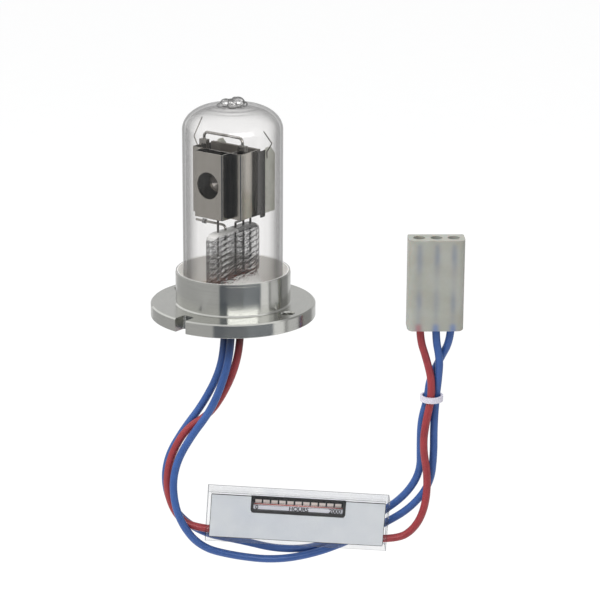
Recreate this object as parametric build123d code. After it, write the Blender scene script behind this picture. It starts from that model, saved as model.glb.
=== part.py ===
from build123d import *
import math
import os

# Deuterium arc lamp on a pre-aligned aluminium flange, with an hour meter and a plug on its leads.
# Z runs up the lamp. The origin is the middle of the flange's seating face, z = 0.
# The light leaves the bulb along -Y, over the slot in the flange. The two screw holes lie on X.
# Everything is in millimetres.

# Flange and collar, turned as one piece
flange_ledge = 7.6
flange_t = 4.2
flange_edge = 0.4
collar_wall = 0.85
collar_h = 10.0
rim_land_h = 0.8
rim_land_cut = 0.1
collar_foot = 0.4
floor_t = 2.0
screw_inset = 4.0
screw_hole_d = 3.4
screw_countersink = 0.35
slot_w = 4.0
slot_depth = 4.3
slot_corner = 0.8

# Bulb
bulb_d = 30.1
glass_wall = 1.0
bulb_straight_h = 53.2
dome_rise = 7.3
dome_flat_d = 10.0
tip_cone_h = 1.5
tip_cone_top_d = 4.6
tip_lobe_d = 3.9
tip_lobe_out = 1.4
tip_small_lobe_d = 2.7
tip_small_lobe_out = 1.9
tip_lobe_sink = 0.3
tip_small_lobe_sink = 0.75
tip_least_r = 0.3
tip_turn = 39.0

# Cement and lead bushing in the base
cement_space = 1.5
cement_top = 2.0
cement_step = 1.5
cement_gap = 0.05
bushing_d = 11.0
bushing_out = 2.0
bushing_collar = 0.8

# Glass stem: a flat press on a flared foot
press_w = 21.8
press_t = 4.5
press_top = 22.9
press_bottom = 8.0
press_corner = 2.6
press_edge = 1.2
rib_pitch = 2.0
rib_depth = 0.35
rib_r = 0.9
rib_count = 7
rib_first = 0.5
foot_rim_h = 1.4
seal_gap = 0.02

# Leads through the press, from the window side backwards, by their Y. The first is welded to the shield.
lead_d = 0.7
lead_rod_y = -3.6
lead_cathode_y = 1.2
lead_anode_y = 5.0
lead_rear_y = 8.4
lead_bend = 0.7
lead_weld_h = 1.5
tail_d = 1.0
tail_top = 7.9
tail_bottom = -0.6

# Electrode structure, folded from thin nickel sheet
sheet_t = 0.3
sheet_bend = 0.45
weld_gap = 0.03
box_top = 48.1
box_bottom = 28.15
window_w = 10.7
window_front = 11.7
window_hole_d = 8.1
shield_w = 18.6
shield_front = 7.75
shield_side_back = 0.1
shield_hole_d = 5.0
focus_d = 6.6
focus_t = 0.25
focus_hole_d = 1.2
focus_cone_h = 1.2
partition_x = 5.5
partition_back = 2.6
slit_w = 2.4
slit_h = 10.0

# Anode side: ceramic wall, anode and the winged back shield
ceramic_y = 1.3
ceramic_t = 1.2
ceramic_bore_d = 4.0
anode_w = 8.0
anode_h = 9.0
anode_t = 0.4
anode_y = 5.0
wing_front = 0.3
wing_back = 8.5
wing_bulge = 0.35
wing_bulge_back = 3.9
wing_clip_y = 2.0
wing_clip_z = 2.3
wing_tab_drop = 0.9
wing_tab_w = 2.4
wing_tab_in = 1.0
wing_step_z = 0.5
wing_step_y = 0.6
wing_tie_h = 3.0

# Cathode coil
coil_d = 2.6
coil_wire_d = 0.4
coil_pitch = 1.25
coil_turns = 6

# Wire parts round the box
bridge_d = 0.85
bridge_half_span = 7.3
bridge_y = -4.43
bridge_rise = 4.1
bridge_bend = 1.4
bridge_foot_drop = 3.9
clip_w = 2.7
clip_h = 4.6
clip_above = 1.9
spring_d = 0.35
support_d = 0.75
support_z = 24.4
support_reach = 11.3
support_bend = 1.1
bead_d = 1.5
bead_l = 1.1
bead_x = 8.1
spring_foot_y = 4.6
spring_foot_drop = 3.2
spring_bend_drop = 1.3
spring_elbow_share = 0.65
spring_elbow_y = 3.3
spring_elbow_rise = 1.9
spring_tip_turn = 9.0
spring_tip_rise = 6.6

# Leads outside the base. Their plane is turned about Z from the line of the screw holes.
hang_turn = 39.0
wire_d = 2.4

# Hour meter, a clear case on the red lead
meter_l = 56.5
meter_h = 16.5
meter_t = 6.0
meter_wall = 1.2
meter_face_t = 1.0
meter_back_t = 1.0
meter_across = 19.7
meter_level = -70.0
meter_depth = -2.5
meter_tilt = 3.9
meter_lead_drop = 5.5
meter_lead_in = 5.0
meter_lead_gap = 0.1
meter_edge = 0.3
red_bend_out = 3.4
label_t = 0.3
label_gap = 0.1
dial_w = 29.4
dial_h = 5.3
dial_frame = 0.8
dial_corner = 0.9
dial_inner_corner = 0.5
dial_t = 1.2
dial_gap = 0.05
scale_t = 0.3
tube_d = 1.1
tube_wall = 0.35
tube_rise = 0.75
tab_l = 5.0
tab_h = 3.2
tab_t = 0.4
resistor_d = 2.0
resistor_l = 6.5
resistor_edge = 0.3
link_d = 0.6

# Cable tie
tie_across = 61.0
tie_depth = 0.15
tie_level = -31.5
tie_inner_d = 5.8
tie_wall = 0.65
tie_band_w = 1.8
tie_head_w = 3.4
tie_head_d = 2.6
tie_head_sink = 0.4
tie_head_h = 2.6
tie_head_edge = 0.6

# Plug housing and its three contacts
plug_across = 61.4
plug_w = 17.1
plug_t = 7.7
plug_bottom = -9.0
plug_h = 28.6
plug_round = 2.0
plug_round_back = 0.7
plug_edge = 0.35
plug_pitch = 5.2
plug_cavity_d = 4.2
plug_cavity_h = 10.0
plug_neck_d = 2.7
plug_neck_h = 2.0
plug_socket_d = 3.7
contact_d = 2.4
contact_wall = 0.3
contact_top_gap = 2.0
contact_barrel_d = 2.9
contact_slot = 0.4
crimp_level = -6.0

# Worked out from the sizes above: the bore takes the bulb and its cement, the collar and flange go round it
bulb_r = bulb_d / 2
bulb_inner_r = bulb_r - glass_wall
bore_r = bulb_r + cement_space
collar_r = bore_r + collar_wall
flange_r = collar_r + flange_ledge
screw_r = flange_r - screw_inset
floor_top = floor_t - flange_t
bulb_seat = floor_top + cement_gap + cement_step
box_h = box_top - box_bottom
box_mid = (box_top + box_bottom) / 2
shield_x = (shield_w - sheet_t) / 2
shield_y = -shield_front + sheet_t / 2
lead_front_y = shield_y + sheet_t / 2 + weld_gap + lead_d / 2
coil_half_h = coil_turns * coil_pitch / 2
coil_mid_r = (coil_d - coil_wire_d) / 2
coil_end = coil_half_h + coil_wire_d / 2 + weld_gap
bushing_bottom = -flange_t - bushing_out
hang = Rot(0, 0, hang_turn)

os.makedirs("parts", exist_ok=True)


def save(name, *solids):
    """Write one node, made of one solid or of several that stay apart."""
    shape = solids[0] if len(solids) == 1 else Compound(children=list(solids))
    export_step(shape, f"parts/{name}.step")


def turned(points):
    """Solid of revolution about Z from an outline of (radius, z) points."""
    outline = make_face(Polyline(*[(r, 0, z) for r, z in points], close=True))
    return revolve(outline, Axis.Z)


def tube_along(points, diameter, radii):
    """Round rod or wire along straight runs joined by arcs of the given radii."""
    path = FilletPolyline(*points, radius=radii) if len(points) > 2 else Line(*points)
    section = Plane(origin=path @ 0, z_dir=path % 0) * Circle(diameter / 2)
    return sweep(section, path=path)


def folded_wall(points, low, high, bend=sheet_bend):
    """Sheet standing on edge, whose mid-line in plan follows the points."""
    path = FilletPolyline(*points, radius=bend) if len(points) > 2 else Line(*points)
    return Pos(0, 0, low) * extrude(trace(path, line_width=sheet_t), high - low)


def along_x(radius, length, x, y, z):
    """Cylinder along X, centred on the point."""
    return Pos(x, y, z) * Rot(0, 90, 0) * Cylinder(radius, length)


def along_y(radius, length, x, y, z):
    """Cylinder along Y, centred on the point."""
    return Pos(x, y, z) * Rot(90, 0, 0) * Cylinder(radius, length)


def upright(diameter, x, y, low, high):
    """Straight round wire along Z."""
    return Pos(x, y, (low + high) / 2) * Cylinder(diameter / 2, high - low)


def flange_base():
    """Flange with its collar, bore, floor, slot and screw holes."""
    rim_r = collar_r - rim_land_cut
    body = turned([
        (bushing_d / 2, -flange_t),
        (flange_r - flange_edge / 2, -flange_t),
        (flange_r, -flange_t + flange_edge / 2),
        (flange_r, -flange_edge),
        (flange_r - flange_edge, 0),
        (collar_r + collar_foot, 0),
        (collar_r, collar_foot),
        (collar_r, collar_h - rim_land_h),
        (rim_r, collar_h - rim_land_h),
        (rim_r, collar_h - rim_land_cut),
        (rim_r - rim_land_cut, collar_h),
        (bore_r + rim_land_cut, collar_h),
        (bore_r, collar_h - rim_land_cut),
        (bore_r, floor_top),
        (bushing_d / 2, floor_top),
    ])
    slot_plan = Rectangle(slot_w, 2 * slot_depth)
    slot_plan = fillet(slot_plan.vertices().group_by(Axis.Y)[-1], slot_corner)
    body -= Pos(0, -flange_r, -2 * flange_t) * extrude(slot_plan, 3 * flange_t)
    hole = Cylinder(screw_hole_d / 2, 3 * flange_t)
    sink_r = screw_hole_d / 2 + screw_countersink
    sink = Pos(0, 0, -screw_countersink / 2) * Cone(screw_hole_d / 2, sink_r, screw_countersink)
    for side in (-1, 1):
        body -= Pos(side * screw_r, 0, 0) * (hole + sink)
    return body


def dome_outline(wall):
    """Half section of the bulb's straight side and dome, drawn in by the wall."""
    radius = bulb_r - wall
    flat_r = dome_flat_d / 2
    top = bulb_straight_h + dome_rise - wall
    side = Line((radius, bulb_seat), (radius, bulb_straight_h))
    centre = (flat_r, bulb_straight_h)
    dome = EllipticalCenterArc(centre, radius - flat_r, dome_rise - wall, start_angle=0, arc_size=90)
    cone_r = tip_cone_top_d / 2 - wall
    cone_top = top + tip_cone_h
    cone = Polyline((flat_r, top), (max(cone_r, tip_least_r), cone_top), (0, cone_top))
    axis_line = Polyline((0, cone_top), (0, bulb_seat), (radius, bulb_seat))
    return Plane.XZ * make_face(side + dome + cone + axis_line)


def glass_envelope():
    """Blown bulb with the melted seal of its pumping tube on top."""
    outside = revolve(dome_outline(0), Axis.Z)
    seal_z = bulb_straight_h + dome_rise + tip_cone_h
    big = Pos(tip_lobe_out, 0, seal_z - tip_lobe_sink) * Sphere(tip_lobe_d / 2)
    small = Pos(-tip_small_lobe_out, 0, seal_z - tip_small_lobe_sink) * Sphere(tip_small_lobe_d / 2)
    outside += Rot(0, 0, tip_turn) * (big + small)
    return outside - revolve(dome_outline(glass_wall), Axis.Z)


def lead_ys():
    """Y of each lead in the press, front to back."""
    return (lead_front_y, lead_rod_y, lead_cathode_y, lead_anode_y, lead_rear_y)


def glass_stem():
    """Press with ribbed faces and rounded top corners on its hollow flared foot."""
    plan = RectangleRounded(press_t, press_w, press_edge)
    height = press_top - press_bottom
    press = Pos(0, 0, press_bottom) * extrude(plan, height)
    front = Plane.YZ * RectangleRounded(press_w, 2 * height, press_corner)
    press &= Pos(-press_t, 0, press_bottom) * extrude(front, 2 * press_t)
    rib_face = press_t / 2 + rib_r - rib_depth
    for row in range(rib_count):
        level = press_top - press_corner - rib_first - row * rib_pitch
        for side in (-1, 1):
            press -= along_y(rib_r, press_w - 2 * press_corner, side * rib_face, 0, level)
    foot_r = bulb_inner_r - cement_gap
    top_plane = Pos(0, 0, press_bottom)
    low_plane = Pos(0, 0, bulb_seat + foot_rim_h)
    foot = loft([top_plane * plan, low_plane * Circle(foot_r)])
    foot += Pos(0, 0, bulb_seat) * extrude(Circle(foot_r), foot_rim_h)
    hollow_plan = RectangleRounded(press_t - 2 * glass_wall, press_w - 2 * glass_wall, press_edge / 2)
    hollow_top = Pos(0, 0, press_bottom - glass_wall) * hollow_plan
    hollow_low = low_plane * Circle(foot_r - glass_wall)
    hollow = loft([hollow_top, hollow_low])
    hollow += Pos(0, 0, bulb_seat) * extrude(Circle(foot_r - glass_wall), foot_rim_h)
    stem = press + foot - hollow
    for y in lead_ys():
        wire = support_d if y == lead_rod_y else lead_d
        stem -= upright(wire + 2 * seal_gap, 0, y, tail_top, press_top + seal_gap)
        stem -= upright(tail_d + 2 * seal_gap, 0, y, bulb_seat, tail_top)
    return stem


def base_cement():
    """Cement that beds the bulb in the collar, with a step that the glass stands on."""
    outer = bore_r - cement_gap
    inner = bulb_r + cement_gap
    bed = turned([
        (bushing_d / 2, floor_top),
        (outer, floor_top),
        (outer, cement_top),
        (inner, cement_top),
        (inner, bulb_seat),
        (bushing_d / 2, bulb_seat),
    ])
    return bed


def lead_bushing():
    """Silicone bushing in the floor that the three leads come out of."""
    shank_r = bushing_d / 2 - cement_gap
    return turned([
        (0, bushing_bottom),
        (shank_r - bushing_collar, bushing_bottom),
        (shank_r, bushing_bottom + bushing_collar),
        (shank_r, tail_bottom - cement_gap),
        (0, tail_bottom - cement_gap),
    ])


def window_box():
    """Three-sided box in front of the shield, with the round hole that the light leaves by."""
    x = (window_w - sheet_t) / 2
    front = -window_front + sheet_t / 2
    back = -shield_front - weld_gap
    wall = folded_wall([(-x, back), (-x, front), (x, front), (x, back)], box_bottom, box_top)
    return wall - along_y(window_hole_d / 2, 4 * sheet_t, 0, front, box_mid)


def shield_box():
    """Front and side walls of the main shield, with the opening for the arc."""
    points = [
        (-shield_x, shield_side_back),
        (-shield_x, shield_y),
        (shield_x, shield_y),
        (shield_x, shield_side_back),
    ]
    wall = folded_wall(points, box_bottom, box_top)
    return wall - along_y(shield_hole_d / 2, 4 * sheet_t, 0, shield_y, box_mid)


def focus_aperture():
    """Disc with a funnel and a fine hole, welded behind the shield's opening."""
    back = shield_y + sheet_t / 2 + weld_gap
    cone_r = shield_hole_d / 2 - 2 * focus_t
    hole_r = focus_hole_d / 2
    depth = focus_t + focus_cone_h
    funnel = turned([
        (hole_r, depth),
        (hole_r + focus_t, depth),
        (cone_r + focus_t, focus_t),
        (focus_d / 2, focus_t),
        (focus_d / 2, 0),
        (cone_r, 0),
        (hole_r, depth - focus_t),
    ])
    return Pos(0, back, box_mid) * Rot(-90, 0, 0) * funnel


def cathode_partition():
    """Wall between the cathode's compartment and the arc, with its upright slit."""
    front = shield_y + sheet_t / 2 + weld_gap
    x = partition_x + sheet_t / 2
    wall = folded_wall([(x, front), (x, -partition_back)], box_bottom, box_top)
    slit_y = (front - partition_back) / 2
    return wall - Pos(x, slit_y, box_mid) * Box(4 * sheet_t, slit_w, slit_h)


def cathode_coil():
    """Oxide-coated heater coil, standing upright behind the slit."""
    height = 2 * coil_half_h
    spiral = Helix(coil_pitch, height, coil_mid_r)
    section = Plane(origin=spiral @ 0, z_dir=spiral % 0) * Circle(coil_wire_d / 2)
    coil = sweep(section, path=spiral, is_frenet=True)
    return Pos(bridge_half_span, bridge_y - coil_mid_r, box_mid - height / 2) * Rot(0, 0, 90) * coil


def ceramic_wall():
    """Alumina wall that keeps the anode apart from the shield."""
    width = shield_w - 2 * sheet_t - 2 * weld_gap
    wall = Pos(0, ceramic_y, box_mid) * Box(width, ceramic_t, box_h)
    return wall - along_y(ceramic_bore_d / 2, 2 * ceramic_t, 0, ceramic_y, box_mid)


def anode_plate():
    """Molybdenum plate that the arc ends on, with a stem down to its lead."""
    plate = Pos(0, anode_y, box_mid) * Box(anode_w, anode_t, anode_h)
    corners = plate.edges().filter_by(Axis.Y)
    return chamfer(corners, anode_w / 8)


def wing_outline():
    """Side view of a wing, with its clipped rear corners and the tab under its front."""
    front = shield_side_back + wing_front
    return Polyline(
        (front, box_bottom),
        (front + wing_tab_in, box_bottom),
        (front + wing_tab_in, box_bottom - wing_tab_drop),
        (front + wing_tab_in + wing_tab_w, box_bottom - wing_tab_drop),
        (wing_bulge_back, box_bottom),
        (wing_back, box_bottom),
        (wing_back, box_top - wing_clip_z),
        (wing_back - wing_clip_y, box_top),
        (wing_bulge_back + wing_step_y, box_top),
        (wing_bulge_back, box_top - wing_step_z),
        (front, box_top - wing_step_z),
        close=True,
    )


def back_shield():
    """Two wings behind the ceramic wall, bulged along their front and tied by a cross strip."""
    front = shield_side_back + wing_front
    x = shield_x
    bulge = Spline((x, front), (x + wing_bulge, (front + wing_bulge_back) / 2), (x, wing_bulge_back))
    flat = Line((x, wing_bulge_back), (x, wing_back))
    plan = trace(bulge + flat, line_width=sheet_t)
    low = box_bottom - wing_tab_drop
    wing = Pos(0, 0, low) * extrude(plan, box_h + wing_tab_drop)
    side = extrude(Plane.YZ * make_face(wing_outline()), 2 * x)
    wing &= side
    tie_y = wing_back - sheet_t / 2
    strip = Pos(0, tie_y, box_mid) * Box(2 * x + sheet_t, sheet_t, wing_tie_h)
    wings = wing + mirror(wing, Plane.YZ) + strip
    return wings


def bridge_rod():
    """Bent rod over the box that carries the top end of the coil."""
    span = bridge_half_span
    top = box_top + bridge_rise
    points = [
        (-span, bridge_y, box_top - bridge_foot_drop),
        (-span, bridge_y, top),
        (span, bridge_y, top),
        (span, bridge_y, box_mid + coil_end),
    ]
    return tube_along(points, bridge_d, bridge_bend)


def bridge_clip(side):
    """Strap folded round a foot of the bridge and welded to the box wall."""
    r = bridge_d / 2 + weld_gap
    low = box_top + clip_above - clip_h
    plan = Rectangle(clip_w, 2 * (r + sheet_t)) - Circle(r)
    strap = extrude(plan, clip_h)
    return Pos(side * bridge_half_span, bridge_y, low) * strap


def support_rod():
    """Rod that comes out of the press and reaches out under the box."""
    points = [
        (0, lead_rod_y, tail_top),
        (0, lead_rod_y, support_z),
        (-support_reach, lead_rod_y, support_z),
    ]
    return tube_along(points, support_d, support_bend)


def support_bead():
    """Glass bead on the end of the support rod."""
    bead = Cylinder(bead_d / 2, bead_l) - Cylinder(support_d / 2 + seal_gap, bead_l)
    return Pos(-bead_x, lead_rod_y, support_z) * Rot(0, 90, 0) * bead


def centring_spring(side):
    """Thin spring wire that leans from a wing to the glass."""
    touch = bulb_inner_r - spring_d - weld_gap
    foot_x = shield_x + sheet_t / 2 + spring_d / 2 + weld_gap
    elbow_x = foot_x + (touch - foot_x) * spring_elbow_share
    tip_turned = math.radians(spring_tip_turn)
    points = [
        (foot_x, spring_foot_y, box_top - spring_foot_drop),
        (foot_x, spring_foot_y - spring_d / 2, box_top - spring_bend_drop),
        (elbow_x, spring_elbow_y, box_top + spring_elbow_rise),
        (touch * math.cos(tip_turned), -touch * math.sin(tip_turned), box_top + spring_tip_rise),
    ]
    wire = tube_along(points, spring_d, [2 * spring_d, 3 * spring_d])
    return wire if side > 0 else Rot(0, 0, 180) * wire


def leads():
    """Leads from the press up to the electrodes, by name."""
    bottom = tail_top
    bend = [lead_bend, lead_bend]
    front = upright(lead_d, 0, lead_front_y, bottom, box_bottom + lead_weld_h)
    cathode = tube_along([
        (0, lead_cathode_y, bottom),
        (0, lead_cathode_y, press_top + 2 * lead_bend),
        (bridge_half_span, bridge_y, box_bottom - lead_bend),
        (bridge_half_span, bridge_y, box_mid - coil_end),
    ], lead_d, bend)
    anode = upright(lead_d, 0, lead_anode_y, bottom, box_mid - anode_h / 2)
    tie_front = wing_back - sheet_t - lead_d / 2 - weld_gap
    rear = tube_along([
        (0, lead_rear_y, bottom),
        (0, lead_rear_y, press_top + 2 * lead_bend),
        (0, tie_front, press_top + 5 * lead_bend),
        (0, tie_front, box_mid + wing_tie_h / 2),
    ], lead_d, bend)
    return {"lead_front": front, "lead_cathode": cathode, "lead_anode": anode, "lead_rear": rear}


def lead_tails():
    """Copper-clad ends of the leads under the press, in the hollow foot."""
    return [upright(tail_d, 0, y, tail_bottom, tail_top) for y in lead_ys()]


def route_radii(points):
    """Arc radius at each inner point: 0.45 of the shorter run over the tangent of half the turn."""
    radii = []
    for before, here, after in zip(points, points[1:], points[2:]):
        first = Vector(*here) - Vector(*before)
        second = Vector(*after) - Vector(*here)
        half_turn = math.radians(first.get_angle(second)) / 2
        radii.append(0.45 * min(first.length, second.length) / math.tan(half_turn))
    return radii


def cord(name, points):
    """Plain tube of one free lead along its route, which is also checked against its section."""
    radii = route_radii(points)
    body = tube_along(points, wire_d, radii)
    path = FilletPolyline(*points, radius=radii)
    expected = math.pi * wire_d ** 2 / 4 * path.length
    print(f"{name}: length {path.length:.1f}, volume {body.volume / expected:.4f} of section by length")
    print("  radii", " ".join(f"{radius:.0f}" for radius in radii))
    save(name, hang * body)


def in_meter(shape):
    """Put a shape drawn flat, face towards +Z, into the hour meter's place."""
    place = hang * Pos(meter_across, meter_depth, meter_level)
    return place * Rot(0, meter_tilt, 0) * Rot(90, 0, 0) * shape


def meter_point(along, up):
    """Point of the lead plane at a place on the hour meter's mid-plane."""
    turn = math.radians(meter_tilt)
    across = meter_across + along * math.cos(turn) + up * math.sin(turn)
    level = meter_level - along * math.sin(turn) + up * math.cos(turn)
    return (across, meter_depth, level)


def meter_cover():
    """Clear case, open at the back, with a hole for the lead in each end."""
    low = -meter_t / 2 + meter_back_t
    shell_t = meter_t - meter_back_t
    shell = Pos(0, 0, low) * extrude(Rectangle(meter_l, meter_h), shell_t)
    shell = chamfer(shell.edges().group_by(Axis.Z)[-1], meter_edge)
    room = Rectangle(meter_l - 2 * meter_wall, meter_h - 2 * meter_wall)
    shell -= Pos(0, 0, low) * extrude(room, shell_t - meter_face_t)
    hole_r = wire_d / 2 + meter_lead_gap
    return shell - along_x(hole_r, 2 * meter_l, 0, -meter_lead_drop, 0)


def meter_back():
    """Back plate of the case."""
    return Pos(0, 0, -meter_t / 2) * extrude(Rectangle(meter_l, meter_h), meter_back_t - dial_gap)


def label_plan():
    """Outline of the face plate, with the notch for the dial in its top edge."""
    width = meter_l - 2 * meter_wall - 2 * label_gap
    height = meter_h - 2 * meter_wall - 2 * label_gap
    notch = Pos(0, height / 2 - dial_h / 2) * Rectangle(dial_w + 2 * dial_gap, dial_h + 2 * dial_gap)
    return Rectangle(width, height) - notch


def meter_face():
    """Grey face plate behind the case's front."""
    top = meter_t / 2 - meter_face_t - dial_gap
    return Pos(0, 0, top - label_t) * extrude(label_plan(), label_t)


def dial_centre():
    """Height of the dial's middle on the face."""
    return meter_h / 2 - meter_wall - label_gap - dial_h / 2


def dial_frame_ring():
    """Black frame round the dial, round at its lower corners."""
    top = meter_t / 2 - meter_face_t - dial_gap
    outer = Rectangle(dial_w, dial_h)
    outer = fillet(outer.vertices().group_by(Axis.Y)[0], dial_corner)
    inner = Rectangle(dial_w - 2 * dial_frame, dial_h - 2 * dial_frame)
    inner = fillet(inner.vertices().group_by(Axis.Y)[0], dial_inner_corner)
    return Pos(0, dial_centre(), top - dial_t) * extrude(outer - inner, dial_t)


def dial_scale():
    """White scale plate behind the frame."""
    top = meter_t / 2 - meter_face_t - dial_gap - dial_t - dial_gap
    return Pos(0, dial_centre(), top - scale_t) * extrude(Rectangle(dial_w, dial_h), scale_t)


def tube_level():
    """Height of the tube's axis above the mid-plane: it lies on the scale plate."""
    return meter_t / 2 - meter_face_t - dial_gap - dial_t + tube_d / 2 + dial_gap


def indicator_tube():
    """Glass capillary across the dial."""
    length = dial_w - 2 * dial_frame - 2 * dial_gap
    tube = Cylinder(tube_d / 2, length) - Cylinder(tube_d / 2 - tube_wall, length)
    return Pos(0, dial_centre() + tube_rise, tube_level()) * Rot(0, 90, 0) * tube


def indicator_column():
    """Metal thread inside the capillary that shows the hours."""
    length = dial_w - 2 * dial_frame - 2 * dial_gap
    column = Cylinder(tube_d / 2 - tube_wall - seal_gap, length)
    return Pos(0, dial_centre() + tube_rise, tube_level()) * Rot(0, 90, 0) * column


def meter_tab(side):
    """Brass tab that a red lead is soldered to."""
    x = side * (meter_l / 2 - meter_wall - meter_lead_in - tab_l / 2 - dial_gap)
    low = -meter_t / 2 + meter_back_t
    foot = Pos(x, -meter_lead_drop, low) * extrude(Rectangle(tab_l, wire_d), tab_t)
    end_x = x + side * (tab_l / 2 - tab_t / 2)
    ear = Pos(end_x, -meter_lead_drop, low) * extrude(Rectangle(tab_t, wire_d), tab_h)
    return foot + ear


def meter_resistor():
    """Resistor between the two tabs, with its wires."""
    reach = meter_l / 2 - meter_wall - meter_lead_in - tab_l - dial_gap
    level = -meter_t / 2 + meter_back_t + tab_t + link_d / 2 + dial_gap
    body_level = level + (resistor_d - link_d) / 2
    body = along_x(resistor_d / 2, resistor_l, 0, -meter_lead_drop, body_level)
    body = chamfer(body.edges().filter_by(GeomType.CIRCLE), resistor_edge)
    wire = along_x(link_d / 2, 2 * reach + tab_l, 0, -meter_lead_drop, level)
    return body + wire


def cable_tie():
    """Nylon tie round the three leads, with its head behind them."""
    inner = tie_inner_d / 2
    band = Cylinder(inner + tie_wall, tie_band_w) - Cylinder(inner, tie_band_w)
    head_y = inner + tie_wall - tie_head_sink + tie_head_d / 2
    head = Pos(0, head_y, 0) * Box(tie_head_w, tie_head_d, tie_head_h)
    head = chamfer(head.edges().filter_by(Axis.Z).group_by(Axis.Y)[-1], tie_head_edge)
    head -= Cylinder(inner, 2 * tie_head_h)
    return hang * Pos(tie_across, tie_depth, tie_level) * (band + head)


def plug_housing():
    """Nylon housing with three through cavities, each with a neck that holds its contact."""
    plan = Rectangle(plug_w, plug_t)
    plan = fillet(plan.vertices().group_by(Axis.Y)[0], plug_round)
    plan = fillet(plan.vertices().group_by(Axis.Y)[-1], plug_round_back)
    body = Pos(0, 0, plug_bottom) * extrude(plan, plug_h)
    body = chamfer(body.edges().group_by(Axis.Z)[0], plug_edge)
    neck_low = plug_bottom + plug_cavity_h
    for place in (-1, 0, 1):
        x = place * plug_pitch
        body -= upright(plug_cavity_d, x, 0, plug_bottom - 1, neck_low)
        body -= upright(plug_neck_d, x, 0, neck_low - 1, neck_low + plug_neck_h + 1)
        body -= upright(plug_socket_d, x, 0, neck_low + plug_neck_h, plug_bottom + plug_h + 1)
    return hang * Pos(plug_across, 0, 0) * body


def plug_contact(place):
    """Tubular contact crimped on a lead and held by the housing's neck."""
    top = plug_bottom + plug_h - contact_top_gap
    neck_low = plug_bottom + plug_cavity_h
    barrel = upright(contact_barrel_d, 0, 0, crimp_level, neck_low - cement_gap)
    sleeve = upright(contact_d, 0, 0, neck_low - 1, top)
    bore = upright(contact_d - 2 * contact_wall, 0, 0, neck_low + plug_neck_h, top + 1)
    seam = Pos(0, -contact_d / 2, top) * Box(contact_slot, contact_d, 3 * plug_neck_h)
    return hang * Pos(plug_across + place * plug_pitch, 0, 0) * (barrel + sleeve - bore - seam)


# Routes of the leads in their own plane: across, depth away from the front, level
red_in = meter_point(-meter_l / 2 + meter_wall + meter_lead_in, -meter_lead_drop)
red_out = meter_point(meter_l / 2 - meter_wall - meter_lead_in, -meter_lead_drop)
blue_outer_route = [
    (-2.6, 1.0, bushing_bottom),
    (-2.6, 1.0, -13.5),
    (-4.2, 1.8, -23.5),
    (-9.4, 2.2, -34.0),
    (-15.6, 2.6, -42.6),
    (-20.5, 2.3, -51.2),
    (-21.6, 2.4, -60.6),
    (-18.2, 2.4, -70.4),
    (-9.8, 2.4, -77.0),
    (2.0, 2.9, -79.6),
    (14.0, 4.0, -83.3),
    (26.5, 5.0, -83.2),
    (37.4, 5.2, -77.6),
    (46.6, 4.4, -71.0),
    (54.0, 3.2, -64.6),
    (58.2, 1.9, -56.6),
    (57.9, 1.4, -47.6),
    (58.0, 1.3, -39.2),
    (59.8, 0.95, -32.2),
    (60.4, 1.8, -26.0),
    (63.6, 2.9, -19.8),
    (66.5, 0.0, -12.6),
    (66.5, 0.0, crimp_level),
]
blue_inner_route = [
    (-0.6, -1.6, bushing_bottom),
    (-0.6, -1.6, -14.0),
    (-2.8, -2.2, -24.4),
    (-7.0, -2.6, -34.6),
    (-13.2, -2.7, -43.0),
    (-17.8, -2.8, -51.6),
    (-19.0, -3.4, -60.4),
    (-16.9, -4.6, -70.0),
    (-10.6, -3.6, -79.2),
    (0.2, 0.2, -83.8),
    (13.2, 2.2, -86.2),
    (25.6, 2.3, -84.0),
    (36.6, 2.4, -79.6),
    (46.8, 2.3, -74.2),
    (55.4, 1.7, -68.6),
    (61.3, 0.9, -60.2),
    (62.1, 0.6, -50.4),
    (61.9, 0.6, -41.4),
    (62.3, 0.8, -32.6),
    (62.9, 0.0, -25.6),
    (63.2, -0.8, -18.8),
    (61.8, 0.0, -12.4),
    (61.8, 0.0, crimp_level),
]
red_lamp_route = [
    (2.2, 0.6, bushing_bottom),
    (2.2, 0.6, -13.0),
    (0.6, 0.5, -21.6),
    (-2.8, 0.3, -29.6),
    (-7.4, 0.0, -36.6),
    (-14.4, -0.1, -41.0),
    (-18.8, -0.2, -48.6),
    (-20.7, -0.2, -56.0),
    (-20.5, -0.1, -63.2),
    (-17.7, -0.9, -69.9),
    meter_point(-meter_l / 2 - red_bend_out, -meter_lead_drop),
    red_in,
]
red_plug_route = [
    red_out,
    meter_point(meter_l / 2 + red_bend_out, -meter_lead_drop),
    (56.6, -2.5, -73.6),
    (59.6, -2.3, -66.6),
    (60.2, -2.1, -57.0),
    (58.4, -1.9, -46.6),
    (59.3, -1.6, -38.6),
    (60.7, -1.35, -31.8),
    (60.8, -1.2, -25.4),
    (59.0, -0.7, -18.4),
    (56.9, 0.0, -12.2),
    (56.9, 0.0, crimp_level),
]

# Base
save("flange_base", flange_base())
save("base_cement", base_cement())
save("lead_bushing", lead_bushing())

# Bulb and stem
save("glass_envelope", glass_envelope())
save("glass_stem", glass_stem())
save("lead_tails", *lead_tails())

# Electrode structure
save("window_box", window_box())
save("shield_box", shield_box())
save("focus_aperture", focus_aperture())
save("cathode_partition", cathode_partition())
save("cathode_coil", cathode_coil())
save("ceramic_wall", ceramic_wall())
save("anode_plate", anode_plate())
save("back_shield", back_shield())
save("bridge_rod", bridge_rod())
save("bridge_clip_left", bridge_clip(-1))
save("bridge_clip_right", bridge_clip(1))
save("support_rod", support_rod())
save("support_bead", support_bead())
save("centring_spring_right", centring_spring(1))
save("centring_spring_left", centring_spring(-1))
for name, lead in leads().items():
    save(name, lead)

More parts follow.
